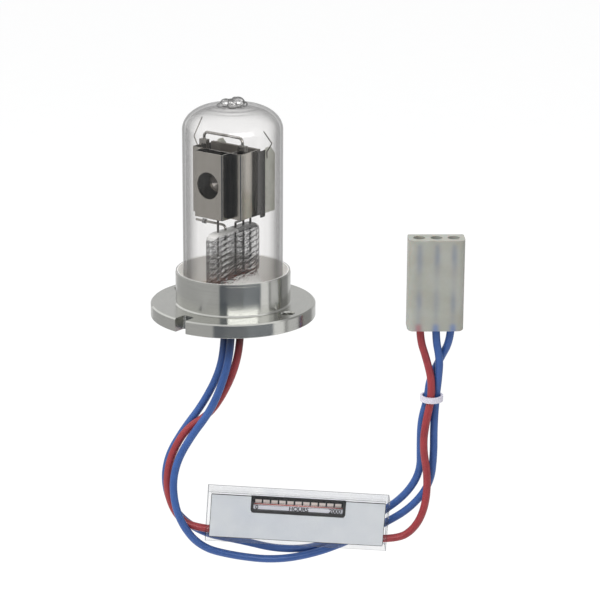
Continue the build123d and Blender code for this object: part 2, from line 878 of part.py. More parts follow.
# Hour meter
save("meter_cover", in_meter(meter_cover()))
save("meter_back", in_meter(meter_back()))
save("meter_face", in_meter(meter_face()))
save("dial_frame", in_meter(dial_frame_ring()))
save("dial_scale", in_meter(dial_scale()))
save("indicator_tube", in_meter(indicator_tube()))
save("indicator_column", in_meter(indicator_column()))
save("meter_tab_left", in_meter(meter_tab(-1)))
save("meter_tab_right", in_meter(meter_tab(1)))
save("meter_resistor", in_meter(meter_resistor()))

# Plug and tie
save("cable_tie", cable_tie())
save("plug_housing", plug_housing())
for number, place in enumerate((-1, 0, 1), start=1):
    save(f"plug_contact_{number}", plug_contact(place))

# Free leads
cord("blue_wire_outer", blue_outer_route)
cord("blue_wire_inner", blue_inner_route)
cord("red_wire_lamp_side", red_lamp_route)
cord("red_wire_plug_side", red_plug_route)
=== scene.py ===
import logging
import math
from collections.abc import Sequence
from dataclasses import dataclass, field
from enum import Enum

import bmesh
import bpy
from mathutils import Matrix, Vector


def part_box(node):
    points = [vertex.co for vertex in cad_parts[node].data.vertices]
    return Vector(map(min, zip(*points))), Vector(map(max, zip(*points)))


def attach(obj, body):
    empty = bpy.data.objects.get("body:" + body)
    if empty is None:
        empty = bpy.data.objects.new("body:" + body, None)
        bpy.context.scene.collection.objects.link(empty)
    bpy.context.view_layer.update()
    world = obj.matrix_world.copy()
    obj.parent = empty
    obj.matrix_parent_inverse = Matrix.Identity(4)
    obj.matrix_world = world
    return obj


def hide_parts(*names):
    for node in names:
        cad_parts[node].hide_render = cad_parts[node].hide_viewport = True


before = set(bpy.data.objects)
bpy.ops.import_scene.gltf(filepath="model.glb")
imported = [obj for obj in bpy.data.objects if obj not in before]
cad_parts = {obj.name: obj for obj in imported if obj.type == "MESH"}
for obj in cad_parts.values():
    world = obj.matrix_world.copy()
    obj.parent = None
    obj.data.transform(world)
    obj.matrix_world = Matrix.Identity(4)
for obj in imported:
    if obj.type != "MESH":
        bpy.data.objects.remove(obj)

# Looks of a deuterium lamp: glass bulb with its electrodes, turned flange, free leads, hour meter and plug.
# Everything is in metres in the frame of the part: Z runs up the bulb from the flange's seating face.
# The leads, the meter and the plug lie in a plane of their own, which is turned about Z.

MM = 0.001
HANG_TURN = math.radians(39.0)
METER_TILT = math.radians(3.9)
METER_ACROSS = 19.7 * MM
METER_DEPTH = -2.5 * MM
METER_LEVEL = -70.0 * MM
PLUG_ACROSS = 61.4 * MM
ON_AXIS = 1e-7
ROOT = "root"
LOOK = "_look"

log = logging.getLogger("lamp")
Colour = tuple[float, float, float, float]
Stops = tuple[tuple[float, float], ...]


def srgb(red: int, green: int, blue: int) -> Colour:
    """Give a colour written in 0 to 255 as a linear one.

    Args:
        red: Red level.
        green: Green level.
        blue: Blue level.

    Returns:
        The linear colour with full alpha.
    """
    def linear(level: int) -> float:
        """Give one level as a linear one."""
        share = level / 255
        return share / 12.92 if share <= 0.04045 else ((share + 0.055) / 1.055) ** 2.4
    return (linear(red), linear(green), linear(blue), 1.0)


def grey(level: float) -> Colour:
    """Give a neutral colour of one linear level."""
    return (level, level, level, 1.0)


def hang_place() -> Matrix:
    """Give the turn that takes the plane of the leads (across, depth, level) into the part's frame."""
    return Matrix.Rotation(HANG_TURN, 4, "Z")


def meter_place() -> Matrix:
    """Give the place of the hour meter, drawn with its face towards +Z and its length along X.

    Returns:
        Matrix from the meter's own axes to the part's frame.
    """
    move = Matrix.Translation((METER_ACROSS, METER_DEPTH, METER_LEVEL))
    tilt = Matrix.Rotation(METER_TILT, 4, "Y") @ Matrix.Rotation(math.radians(90), 4, "X")
    return hang_place() @ move @ tilt


def plug_place() -> Matrix:
    """Give the place of the plug, upright in the plane of the leads."""
    return hang_place() @ Matrix.Translation((PLUG_ACROSS, 0, 0))


def local_box(node: str, place: Matrix) -> tuple[Vector, Vector]:
    """Measure a node of the frame in a place of its own.

    Args:
        node: Name of the node.
        place: Matrix from that place to the part's frame.

    Returns:
        The lowest and highest corner in the place's axes.
    """
    back = place.inverted()
    points = [back @ vertex.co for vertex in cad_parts[node].data.vertices]
    low = Vector([min(point[axis] for point in points) for axis in range(3)])
    high = Vector([max(point[axis] for point in points) for axis in range(3)])
    return low, high


def in_scene(name: str, data: bpy.types.ID) -> bpy.types.Object:
    """Put a mesh, curve, camera or light into the scene.

    Args:
        name: Name of the object.
        data: What it shows.

    Returns:
        The new object.
    """
    made = bpy.data.objects.new(name, data)
    bpy.context.scene.collection.objects.link(made)
    return made


class NodeTree:
    """The node tree of a material or of the world while it is being made."""

    def __init__(self, tree: bpy.types.NodeTree) -> None:
        """Start with the tree empty.

        Args:
            tree: The tree to fill.
        """
        self.tree = tree
        self.tree.nodes.clear()

    def node(self, kind: str, inputs: dict | None = None, **settings: object) -> bpy.types.Node:
        """Add a node.

        Args:
            kind: Node type without its ShaderNode start.
            inputs: Values or sockets by input name or number.
            settings: Attributes to set on the node.

        Returns:
            The new node.
        """
        made = self.tree.nodes.new("ShaderNode" + kind)
        for name, value in settings.items():
            setattr(made, name, value)
        for name, value in (inputs or {}).items():
            if isinstance(value, bpy.types.NodeSocket):
                self.tree.links.new(value, made.inputs[name])
            else:
                made.inputs[name].default_value = value
        return made

    def math(self, operation: str, first: object, second: object = 0.0,
             third: object = 0.0) -> bpy.types.NodeSocket:
        """Give the result of a maths node."""
        inputs = {0: first, 1: second, 2: third}
        return self.node("Math", inputs, operation=operation).outputs[0]

    def sees_background(self) -> bpy.types.NodeSocket:
        """Give 1 for rays that see the background: camera, glossy and transmission rays.

        Returns:
            The flag.
        """
        path = self.node("LightPath").outputs
        seen = self.math("MAXIMUM", path["Is Camera Ray"], path["Is Glossy Ray"])
        return self.math("MAXIMUM", seen, path["Is Transmission Ray"])


class Shader(NodeTree):
    """A material while it is being made."""

    def __init__(self, name: str) -> None:
        """Start an empty material.

        Args:
            name: Its name, without the ending that keeps it apart from the frame's own materials.
        """
        self.material = bpy.data.materials.new(name + LOOK)
        self.material.use_nodes = True
        super().__init__(self.material.node_tree)
        self.output = self.node("OutputMaterial")

    def coords(self) -> bpy.types.NodeSocket:
        """Give the object coordinates in metres."""
        return self.node("TexCoord").outputs["Object"]

    def placed(self, vector: bpy.types.NodeSocket, scale: Sequence[float] = (1, 1, 1),
               turn: Sequence[float] = (0, 0, 0)) -> bpy.types.NodeSocket:
        """Scale and turn a vector.

        Args:
            vector: Vector to map.
            scale: Scale along each axis.
            turn: Euler turn in radians.

        Returns:
            The mapped vector.
        """
        return self.node("Mapping", {"Vector": vector, "Scale": scale, "Rotation": turn}).outputs["Vector"]

    def noise(self, vector: bpy.types.NodeSocket, scale: float, detail: float = 3.0,
              rough: float = 0.55) -> bpy.types.NodeSocket:
        """Give a noise level from 0 to 1.

        Args:
            vector: Where to read it.
            scale: Cells for each metre.
            detail: Octaves.
            rough: Share that each octave keeps.

        Returns:
            The noise's value.
        """
        made = self.node("TexNoise", {"Vector": vector, "Scale": scale, "Detail": detail, "Roughness": rough})
        return made.outputs[0]

    def ramp(self, level: bpy.types.NodeSocket, stops: Sequence[tuple[float, Colour]],
             smooth: bool = False) -> bpy.types.NodeSocket:
        """Turn a level into a colour.

        Args:
            level: Value from 0 to 1.
            stops: Places and their colours, in order.
            smooth: Whether to ease between stops.

        Returns:
            The colour.
        """
        made = self.node("ValToRGB", {"Fac": level})
        made.color_ramp.interpolation = "EASE" if smooth else "LINEAR"
        elements = made.color_ramp.elements
        while len(elements) < len(stops):
            elements.new(1.0)
        for element, (place, colour) in zip(elements, stops):
            element.position = place
            element.color = colour
        return made.outputs["Color"]

    def greys(self, level: bpy.types.NodeSocket, stops: Stops, smooth: bool = False) -> bpy.types.NodeSocket:
        """Turn a level into a grey by places and linear levels."""
        return self.ramp(level, [(place, grey(value)) for place, value in stops], smooth)

    def mix(self, share: object, first: object, second: object,
            blend: str = "MIX") -> bpy.types.NodeSocket:
        """Mix two colours.

        Args:
            share: Share of the second.
            first: First colour or socket.
            second: Second colour or socket.
            blend: Blend type.

        Returns:
            The mixed colour.
        """
        made = self.node("Mix", {}, data_type="RGBA", blend_type=blend)
        for name, value in ((0, share), (6, first), (7, second)):
            if isinstance(value, bpy.types.NodeSocket):
                self.tree.links.new(value, made.inputs[name])
            else:
                made.inputs[name].default_value = value
        return made.outputs[2]

    def radius(self, vector: bpy.types.NodeSocket) -> bpy.types.NodeSocket:
        """Give the distance from the Z axis."""
        flat = self.node("VectorMath", {0: vector, 1: (1, 1, 0)}, operation="MULTIPLY").outputs[0]
        return self.node("VectorMath", {0: flat}, operation="LENGTH").outputs["Value"]

    def split(self, vector: bpy.types.NodeSocket) -> bpy.types.NodeOutputs:
        """Give a vector's X, Y and Z."""
        return self.node("SeparateXYZ", {0: vector}).outputs

    def scaled(self, vector: bpy.types.NodeSocket, factor: object) -> bpy.types.NodeSocket:
        """Scale a vector or a colour by one factor."""
        return self.node("VectorMath", {0: vector, 3: factor}, operation="SCALE").outputs[0]

    def along(self, vector: bpy.types.NodeSocket, row: Sequence[float]) -> bpy.types.NodeSocket:
        """Give the place of a point along one axis of another place.

        Args:
            vector: The point.
            row: Row of the matrix into that place: the axis and its offset.

        Returns:
            The distance along the axis in metres.
        """
        reach = self.node("VectorMath", {0: vector, 1: tuple(row[:3])}, operation="DOT_PRODUCT").outputs["Value"]
        return self.math("ADD", reach, row[3])

    def bump(self, height: bpy.types.NodeSocket, distance: float, strength: float = 1.0,
             normal: bpy.types.NodeSocket | None = None) -> bpy.types.NodeSocket:
        """Turn a height into a normal.

        Args:
            height: Height from 0 to 1.
            distance: Height of 1 in metres.
            strength: Share of the bump that shows.
            normal: Normal under it.

        Returns:
            The bumped normal.
        """
        inputs = {"Height": height, "Distance": distance, "Strength": strength}
        if normal is not None:
            inputs["Normal"] = normal
        return self.node("Bump", inputs).outputs["Normal"]

    def polished(self, under: bpy.types.NodeSocket, facing: bpy.types.NodeSocket, power: float, edge: float,
                 least: float, roughness: float, normal: bpy.types.NodeSocket | None = None) -> bpy.types.NodeSocket:
        """Lay a gloss over a see-through body, stronger where it is seen edge-on.

        Args:
            under: The body's shader.
            facing: How far the surface turns away, from 0 to 1.
            power: How fast the gloss gathers at the edge.
            edge: Share of gloss that the edge adds.
            least: Share of gloss where it is seen square.
            roughness: Roughness of the gloss.
            normal: Normal of the gloss.

        Returns:
            The finished surface.
        """
        inputs = {"Color": grey(1.0), "Roughness": roughness}
        if normal is not None:
            inputs["Normal"] = normal
        shine = self.node("BsdfGlossy", inputs).outputs[0]
        share = self.math("MULTIPLY_ADD", self.math("POWER", facing, power), edge, least)
        return self.node("MixShader", {0: share, 1: under, 2: shine}).outputs[0]

    def finish(self, surface: bpy.types.NodeSocket) -> bpy.types.Material:
        """Send a surface to the output and give the material."""
        self.tree.links.new(surface, self.output.inputs["Surface"])
        return self.material


@dataclass(frozen=True)
class TurnedMetal:
    """Aluminium turned on a lathe: rings that blur reflections along the axis, and a rougher, light bore that glows a
    little as painted light.
    """

    name: str = "turned_aluminium"
    light: Colour = (0.52, 0.522, 0.495, 1.0)
    dull: Colour = (0.455, 0.458, 0.435, 1.0)
    bore: Colour = (0.86, 0.85, 0.82, 1.0)
    bore_dark: Colour = (0.22, 0.21, 0.20, 1.0)
    roughness: float = 0.165
    bore_roughness: float = 0.30
    bore_dulling: float = -0.85
    stretch: float = 0.92
    ring_scale: float = 2600.0
    ring_depth: float = 0.0006 * MM
    ring_drift: float = 0.0006
    cloud_scale: float = 160.0
    bore_radius: float = 16.9 * MM
    hatch_pitch: float = 1.0 * MM
    # Strength of the bore's painted glow, which lifts the shade inside it.
    bore_painted_glow: float = 0.52

    def hatched(self, s: Shader, height: bpy.types.NodeSocket, angle: bpy.types.NodeSocket) -> bpy.types.NodeSocket:
        """Draw the screw-shaped tool marks of the bore.

        Args:
            s: The material being made.
            height: Height along the axis.
            angle: Angle round the axis.

        Returns:
            The bore's colour.
        """
        starts = round(2 * math.pi * self.bore_radius / self.hatch_pitch)
        climb = s.math("MULTIPLY", height, 2 * math.pi / self.hatch_pitch)
        hatch = s.math("SINE", s.math("MULTIPLY_ADD", angle, starts, climb))
        return s.ramp(s.math("MULTIPLY_ADD", hatch, 0.5, 0.5), [(0.15, self.bore_dark), (0.75, self.bore)])

    def across_rings(self, s: Shader, axes: bpy.types.NodeOutputs) -> bpy.types.NodeSocket:
        """Give the direction across the tool's rings, along which they blur reflections.

        Args:
            s: The material being made.
            axes: X, Y and Z of the point.

        Returns:
            The tangent.
        """
        outward = s.node("CombineXYZ", {0: axes["X"], 1: axes["Y"], 2: 0.0}).outputs[0]
        circle = s.node("VectorMath", {0: (0, 0, 1), 1: outward}, operation="CROSS_PRODUCT").outputs[0]
        facing = s.node("NewGeometry").outputs["Normal"]
        across = s.node("VectorMath", {0: circle, 1: facing}, operation="CROSS_PRODUCT").outputs[0]
        return s.node("VectorMath", {0: across}, operation="NORMALIZE").outputs[0]

    def build(self) -> bpy.types.Material:
        """Make the material.

        Returns:
            The new material.
        """
        s = Shader(self.name)
        spot = s.coords()
        axes = s.split(spot)
        radius = s.radius(spot)
        angle = s.math("ARCTAN2", axes["Y"], axes["X"])
        drift = s.math("MULTIPLY", angle, self.ring_drift)
        turned = s.node("CombineXYZ", {0: radius, 1: axes["Z"], 2: drift}).outputs[0]
        rings = s.noise(turned, self.ring_scale, 2.0, 0.7)
        cloud = s.noise(spot, self.cloud_scale, 3.0)
        level = s.math("MULTIPLY_ADD", rings, 0.6, s.math("MULTIPLY", cloud, 0.4))
        colour = s.ramp(level, [(0.3, self.dull), (0.7, self.light)])
        inside = s.math("LESS_THAN", radius, self.bore_radius)
        shade = s.mix(inside, colour, self.hatched(s, axes["Z"], angle))
        normal = s.bump(rings, self.ring_depth, 0.8)
        outer_rough = s.math("MULTIPLY_ADD", cloud, 0.04, self.roughness)
        rough = s.math("MULTIPLY_ADD", inside, self.bore_roughness, outer_rough)
        # Inside the bore the colour also glows: painted light.
        body = s.node("BsdfPrincipled", {"Base Color": shade, "Roughness": rough, "Normal": normal,
                                         "Metallic": s.math("MULTIPLY_ADD", inside, self.bore_dulling, 1.0),
                                         "Emission Color": shade,
                                         "Emission Strength": s.math("MULTIPLY", inside, self.bore_painted_glow),
                                         "Anisotropic": self.stretch, "Tangent": self.across_rings(s, axes)})
        return s.finish(body.outputs[0])


@dataclass(frozen=True)
class SheetMetal:
    """Thin annealed nickel sheet or wire with drawn streaks; its side walls can carry painted reflection bands, dark
    and light.
    """

    name: str
    light: Colour = (0.52, 0.495, 0.455, 1.0)
    dark: Colour = (0.44, 0.42, 0.38, 1.0)
    roughness: float = 0.15
    streak: float = 900.0
    drawn_out: tuple[float, float, float] = (1.0, 1.0, 0.03)
    cloud_scale: float = 210.0
    relief: float = 0.003 * MM
    # Painted reflection bands: place along Y in millimetres and level.
    painted_reflection_bands: Stops = ()
    band_from: float = -12.0 * MM
    band_reach: float = 12.5 * MM
    band_top: float = 2.0
    side_facing: float = 0.8

    def paint_reflection_bands(self, s: Shader, spot: bpy.types.NodeSocket, colour: bpy.types.NodeSocket) -> bpy.types.NodeSocket:
        """Paint dark and light reflection bands on the side walls by their place along Y.

        Args:
            s: The material being made.
            spot: Object coordinates.
            colour: Colour without the bands.

        Returns:
            Colour with the bands.
        """
        along = s.math("DIVIDE", s.math("SUBTRACT", s.split(spot)["Y"], self.band_from), self.band_reach)
        stops = tuple(((y * MM - self.band_from) / self.band_reach, level / self.band_top) for y, level in self.painted_reflection_bands)
        level = s.scaled(s.greys(along, stops), self.band_top)
        facing = s.split(s.node("NewGeometry").outputs["Normal"])["X"]
        side = s.math("GREATER_THAN", s.math("ABSOLUTE", facing), self.side_facing)
        return s.mix(side, colour, s.mix(1.0, colour, level, "MULTIPLY"))

    def build(self) -> bpy.types.Material:
        """Make the material.

        Returns:
            The new material.
        """
        s = Shader(self.name)
        spot = s.coords()
        drawn = s.noise(s.placed(spot, self.drawn_out), self.streak, 3.0, 0.6)
        cloud = s.noise(spot, self.cloud_scale, 3.0)
        level = s.math("MULTIPLY_ADD", drawn, 0.45, s.math("MULTIPLY", cloud, 0.55))
        colour = s.ramp(level, [(0.25, self.dark), (0.75, self.light)])
        if self.painted_reflection_bands:
            colour = self.paint_reflection_bands(s, spot, colour)
        normal = s.bump(cloud, self.relief, 0.8)
        rough = s.math("MULTIPLY_ADD", cloud, 0.08, self.roughness - 0.04)
        body = s.node("BsdfPrincipled", {"Base Color": colour, "Roughness": rough, "Normal": normal, "Metallic": 1.0})
        return s.finish(body.outputs[0])


@dataclass(frozen=True)
class WingMetal:
    """Sheet of the back shield: smooth along its bulge, where its near-black tone is a painted dark reflection, grey
    and blasted behind it.
    """

    name: str = "blasted_nickel"
    blasted: Colour = (0.42, 0.425, 0.37, 1.0)
    pale: Colour = (0.54, 0.54, 0.485, 1.0)
    # Painted dark reflection of the smooth bulge, in place of its own nickel tone.
    smooth: Colour = (0.085, 0.083, 0.080, 1.0)
    edge_y: float = 3.75 * MM
    ragged: float = 0.28 * MM
    grain_scale: float = 1700.0
    blotch_scale: float = 420.0
    tooth_scale: float = 1300.0
    relief: float = 0.012 * MM
    roughness: float = 0.22

    def build(self) -> bpy.types.Material:
        """Make the material.

        Returns:
            The new material.
        """
        s = Shader(self.name)
        spot = s.coords()
        axes = s.split(spot)
        grain = s.noise(spot, self.grain_scale, 4.0, 0.7)
        blotch = s.noise(s.placed(spot, (1, 1, 0.6)), self.blotch_scale, 3.0, 0.6)
        colour = s.ramp(s.math("MULTIPLY_ADD", grain, 0.4, s.math("MULTIPLY", blotch, 0.6)),
                        [(0.35, self.blasted), (0.62, self.pale)])
        tooth = s.noise(s.placed(spot, (0.2, 0.2, 1)), self.tooth_scale, 1.0)
        limit = s.math("MULTIPLY_ADD", tooth, 2 * self.ragged, self.edge_y - self.ragged)
        behind = s.math("GREATER_THAN", axes["Y"], limit)
        # Ahead of the ragged edge the sheet takes the painted dark reflection.
        shade = s.mix(behind, self.smooth, colour)
        rough = s.math("MULTIPLY_ADD", behind, 0.33, self.roughness)
        normal = s.bump(s.math("MULTIPLY", grain, behind), self.relief, 0.8)
        body = s.node("BsdfPrincipled", {"Base Color": shade, "Roughness": rough, "Normal": normal,
                                         "Metallic": s.math("MULTIPLY_ADD", behind, -0.55, 1.0)})
        return s.finish(body.outputs[0])


@dataclass(frozen=True)
class SeenGlass:
    """Clear glass or plastic wall: it tints what is behind it, more so where it is seen edge-on."""

    name: str
    stops: Stops
    gloss: float = 0.05
    gloss_edge: float = 0.55
    gloss_power: float = 4.0
    roughness: float = 0.03
    tint: Colour = (1.0, 0.997, 0.995, 1.0)
    ripple: float = 0.001 * MM
    ripple_scale: float = 300.0
    cloud_scale: float = 90.0

    def build(self) -> bpy.types.Material:
        """Make the material.

        Returns:
            The new material.
        """
        s = Shader(self.name)
        spot = s.coords()
        wave = s.noise(spot, self.ripple_scale, 2.0)
        normal = s.bump(wave, self.ripple)
        facing = s.node("LayerWeight", {"Blend": 0.5, "Normal": normal}).outputs["Facing"]
        shade = s.greys(facing, tuple((1 - cosine, level) for cosine, level in self.stops))
        shade = s.mix(1.0, shade, self.tint, "MULTIPLY")
        shade = s.scaled(shade, s.math("MULTIPLY_ADD", s.noise(spot, self.cloud_scale, 2.0), 0.03, 0.985))
        clear = s.node("BsdfTransparent", {"Color": shade}).outputs[0]
        return s.finish(s.polished(clear, facing, self.gloss_power, self.gloss_edge, self.gloss, self.roughness,
                                   normal))


@dataclass(frozen=True)
class RibbedGlass:
    """Ribbed press of the stem: facets that look up get a painted white glint, those that look down a painted shade.
    """

    name: str = "press_glass"
    stops: Stops = ((0.0, 0.97), (0.25, 0.86), (0.45, 0.55), (0.7, 0.22), (1.0, 0.30))
    # Painted shade of facets that look down; below it the painted white glint of facets that look up.
    painted_underside_shade: Stops = ((0.24, 0.16), (0.48, 1.0))
    white: Colour = (0.95, 0.945, 0.92, 1.0)
    lit_from: float = 0.34
    lit_full: float = 0.60
    lit_share: float = 0.92
    foot: Colour = (0.62, 0.34, 0.27, 1.0)
    foot_top: float = 11.0 * MM
    stain_scale: float = 500.0
    stain: float = 1.9
    most_stain: float = 0.8
    seal_top: float = 22.4 * MM
    seal_ragged: float = 1.4 * MM
    seal_y: float = 4.6 * MM
    seal_reach: float = 4.6 * MM
    top_darkening: float = 0.85
    ripple: float = 0.35 * MM
    ripple_scale: float = 900.0

    def stained(self, s: Shader, spot: bpy.types.NodeSocket, height: bpy.types.NodeSocket) -> bpy.types.NodeSocket:
        """Give how far copper reddens the glass, more so towards its foot.

        Args:
            s: The material being made.
            spot: Object coordinates.
            height: Height along the axis.

        Returns:
            The share of the stain.
        """
        low = s.math("SUBTRACT", 1.0, s.math("DIVIDE", height, self.foot_top))
        low = s.math("MINIMUM", s.math("MAXIMUM", low, 0.0), 1.0)
        stain = s.math("MULTIPLY", low, s.math("MULTIPLY", s.noise(spot, self.stain_scale, 3.0), self.stain))
        return s.math("MINIMUM", stain, self.most_stain)

    def dark_top_mask(self, s: Shader, axes: bpy.types.NodeOutputs, flow: bpy.types.NodeSocket) -> bpy.types.NodeSocket:
        """Give where the top is dark round the leads that are sealed there.

        Args:
            s: The material being made.
            axes: X, Y and Z of the point.
            flow: Noise that makes the dark part ragged.

        Returns:
            1 where it is dark.
        """
        near_top = s.math("GREATER_THAN", axes["Z"], s.math("MULTIPLY_ADD", flow, -self.seal_ragged, self.seal_top))
        aside = s.math("ABSOLUTE", s.math("SUBTRACT", axes["Y"], self.seal_y))
        return s.math("MULTIPLY", near_top, s.math("LESS_THAN", aside, self.seal_reach))

    def build(self) -> bpy.types.Material:
        """Make the material.

        Returns:
            The new material.
        """
        s = Shader(self.name)
        spot = s.coords()
        axes = s.split(spot)
        flow = s.noise(s.placed(spot, (1, 1, 1.5)), self.ripple_scale, 2.5, 0.6)
        normal = s.bump(flow, self.ripple)
        tilt = s.split(normal)["Z"]
        facing = s.node("LayerWeight", {"Blend": 0.5, "Normal": normal}).outputs["Facing"]
        # Facets that look down are darkened: painted shade.
        under = s.greys(s.math("MULTIPLY_ADD", tilt, 0.5, 0.5), self.painted_underside_shade)
        clear = s.mix(1.0, s.greys(facing, self.stops), under, "MULTIPLY")
        clear = s.mix(self.stained(s, spot, axes["Z"]), clear, self.foot)
        # The top round the sealed leads is darkened.
        top_darkening = self.dark_top_mask(s, axes, flow)
        clear = s.mix(s.math("MULTIPLY", top_darkening, self.top_darkening), clear, grey(0.05))
        through = s.node("BsdfTransparent", {"Color": clear}).outputs[0]
        # Facets that look up turn to lit white: a painted glint.
        white = s.node("BsdfDiffuse", {"Color": self.white, "Normal": normal}).outputs[0]
        lit = s.node("MapRange", {0: tilt, 1: self.lit_from, 2: self.lit_full, 3: 0.0, 4: self.lit_share}).outputs[0]
        lit = s.math("MULTIPLY", lit, s.math("SUBTRACT", 1.0, s.math("MULTIPLY", top_darkening, 0.8)))
        body = s.node("MixShader", {0: lit, 1: through, 2: white}).outputs[0]
        return s.finish(s.polished(body, facing, 3.0, 0.6, 0.06, 0.08, normal))


@dataclass(frozen=True)
class CaseGlass:
    """Clear moulded case of the meter, with fine dark lines of painted shade along its edges."""

    name: str = "clear_case"
    half: tuple[float, float] = (28.25 * MM, 8.25 * MM)
    front: float = 3.0 * MM
    back: float = -3.0 * MM
    line: float = 0.22 * MM
    # Painted shade of the edge lines.
    dark: Colour = (0.34, 0.35, 0.37, 1.0)
    edge_shade_share: float = 0.75
    stops: Stops = ((1.0, 0.985), (0.6, 0.95), (0.3, 0.88), (0.0, 0.70))
    mottle: Colour = (0.965, 0.97, 0.98, 1.0)

    def painted_edge_shade(self, s: Shader, spot: bpy.types.NodeSocket) -> bpy.types.NodeSocket:
        """Give where two faces of the case meet.

        Args:
            s: The material being made.
            spot: Object coordinates.

        Returns:
            1 on the edges.
        """
        rows = [s.along(spot, row) for row in meter_place().inverted()[:3]]
        gaps = [s.math("SUBTRACT", self.half[axis], s.math("ABSOLUTE", rows[axis])) for axis in range(2)]
        gaps.append(s.math("MINIMUM", s.math("SUBTRACT", self.front, rows[2]), s.math("SUBTRACT", rows[2], self.back)))
        near = [s.math("LESS_THAN", gap, self.line) for gap in gaps]
        return s.math("GREATER_THAN", s.math("ADD", s.math("ADD", near[0], near[1]), near[2]), 1.5)

    def build(self) -> bpy.types.Material:
        """Make the material.

        Returns:
            The new material.
        """
        s = Shader(self.name)
        spot = s.coords()
        facing = s.node("LayerWeight", {"Blend": 0.5}).outputs["Facing"]
        shade = s.greys(facing, tuple((1 - cosine, level) for cosine, level in self.stops))
        cloud = s.ramp(s.noise(spot, 120.0, 2.0), [(0.3, self.mottle), (0.7, grey(1.0))])
        shade = s.mix(1.0, shade, cloud, "MULTIPLY")
        # Painted shade: the case's edges are drawn as fine dark lines.
        shade = s.mix(s.math("MULTIPLY", self.painted_edge_shade(s, spot), self.edge_shade_share), shade, self.dark)
        clear = s.node("BsdfTransparent", {"Color": shade}).outputs[0]
        return s.finish(s.polished(clear, facing, 4.0, 0.35, 0.015, 0.05))


@dataclass(frozen=True)
class Insulation:
    """Smooth soft insulation of a lead, in shade where it leaves the bushing under the flange."""

    name: str
    colour: Colour
    deep: Colour
    roughness: float = 0.36
    cloud_scale: float = 240.0
    scuff_scale: float = 2600.0
    relief: float = 0.010 * MM
    shade_fade: float = 0.11 / MM
    shade_from: float = -1.2
    deepest_shade: float = 0.18

    def build(self) -> bpy.types.Material:
        """Make the material.

        Returns:
            The new material.
        """
        s = Shader(self.name)
        spot = s.coords()
        cloud = s.noise(spot, self.cloud_scale, 3.0)
        scuff = s.noise(spot, self.scuff_scale, 2.0, 0.7)
        colour = s.ramp(s.math("MULTIPLY_ADD", scuff, 0.25, s.math("MULTIPLY", cloud, 0.75)),
                        [(0.3, self.deep), (0.7, self.colour)])
        below = s.node("VectorMath", {0: spot}, operation="LENGTH").outputs["Value"]
        shade = s.math("MAXIMUM", s.math("MULTIPLY_ADD", below, self.shade_fade, self.shade_from), self.deepest_shade)
        colour = s.node("HueSaturation", {"Color": colour, "Value": s.math("MINIMUM", shade, 1.0)}).outputs[0]
        rough = s.math("MULTIPLY_ADD", scuff, 0.14, self.roughness - 0.07)
        normal = s.bump(s.math("MULTIPLY_ADD", cloud, 2.0, scuff), self.relief, 0.7)
        body = s.node("BsdfPrincipled", {"Base Color": colour, "Roughness": rough, "Normal": normal,
                                         "Specular IOR Level": 0.42})
        return s.finish(body.outputs[0])


@dataclass(frozen=True)
class Nylon:
    """Natural nylon, cloudy, with the contacts and leads inside showing through as soft shadows."""

    name: str = "natural_nylon"
    colour: Colour = (0.42, 0.425, 0.385, 1.0)
    yellow: Colour = (0.375, 0.375, 0.325, 1.0)
    metal: Colour = (0.20, 0.23, 0.30, 1.0)
    blue: Colour = (0.16, 0.24, 0.46, 1.0)
    red: Colour = (0.45, 0.16, 0.17, 1.0)
    through: Colour = (0.78, 0.79, 0.76, 1.0)
    pitch: float = 5.2 * MM
    half_shadow: float = 0.95 * MM
    bottom: float = -9.0 * MM
    height: float = 28.6 * MM
    metal_stops: Stops = ((0.0, 0.85), (0.12, 0.35), (0.36, 0.75), (0.50, 0.25), (0.58, 0.30), (0.82, 0.85),
                          (0.93, 0.60), (1.0, 0.0))
    lead_stops: Stops = ((0.0, 1.0), (0.05, 0.8), (0.11, 0.0))
    clear: float = 0.10
    roughness: float = 0.40
    relief: float = 0.010 * MM
    scatter: float = 0.12
    scatter_scale: float = 1.2 * MM

    def build(self) -> bpy.types.Material:
        """Make the material.

        Returns:
            The new material.
        """
        s = Shader(self.name)
        spot = s.coords()
        across = s.along(spot, plug_place().inverted()[0])
        level = s.math("DIVIDE", s.math("SUBTRACT", s.split(spot)["Z"], self.bottom), self.height)
        cloud = s.noise(spot, 170.0, 3.0)
        grain = s.noise(spot, 2200.0, 2.0, 0.6)
        patch = s.noise(s.placed(spot, (1, 1, 0.5)), 330.0, 2.0)
        colour = s.ramp(cloud, [(0.35, self.yellow), (0.65, self.colour)])
        along = s.greys(level, self.metal_stops, True)
        foot = s.greys(level, self.lead_stops, True)
        for number, lead in ((-1, self.red), (0, self.blue), (1, self.blue)):
            off = s.math("DIVIDE", s.math("SUBTRACT", across, number * self.pitch), self.half_shadow)
            band = s.math("EXPONENT", s.math("MULTIPLY", s.math("MULTIPLY", off, off), -1.0))
            share = s.math("MULTIPLY", band, s.math("MULTIPLY", along, s.math("MULTIPLY_ADD", patch, 1.0, 0.25)))
            colour = s.mix(s.math("MULTIPLY", share, 0.95), colour, self.metal)
            colour = s.mix(s.math("MULTIPLY", s.math("MULTIPLY", band, foot), 0.85), colour, lead)
        normal = s.bump(s.math("MULTIPLY_ADD", cloud, 3.0, grain), self.relief, 0.6)
        body = s.node("BsdfPrincipled", {"Base Color": colour, "Roughness": self.roughness, "Normal": normal,
                                         "Subsurface Weight": self.scatter,
                                         "Subsurface Scale": self.scatter_scale}).outputs[0]
        through = s.node("BsdfTransparent", {"Color": self.through}).outputs[0]
        haze = s.math("MULTIPLY_ADD", cloud, 0.06, self.clear - 0.03)
        both = s.node("MixShader", {0: haze, 1: body, 2: through}).outputs[0]
        return s.finish(both)


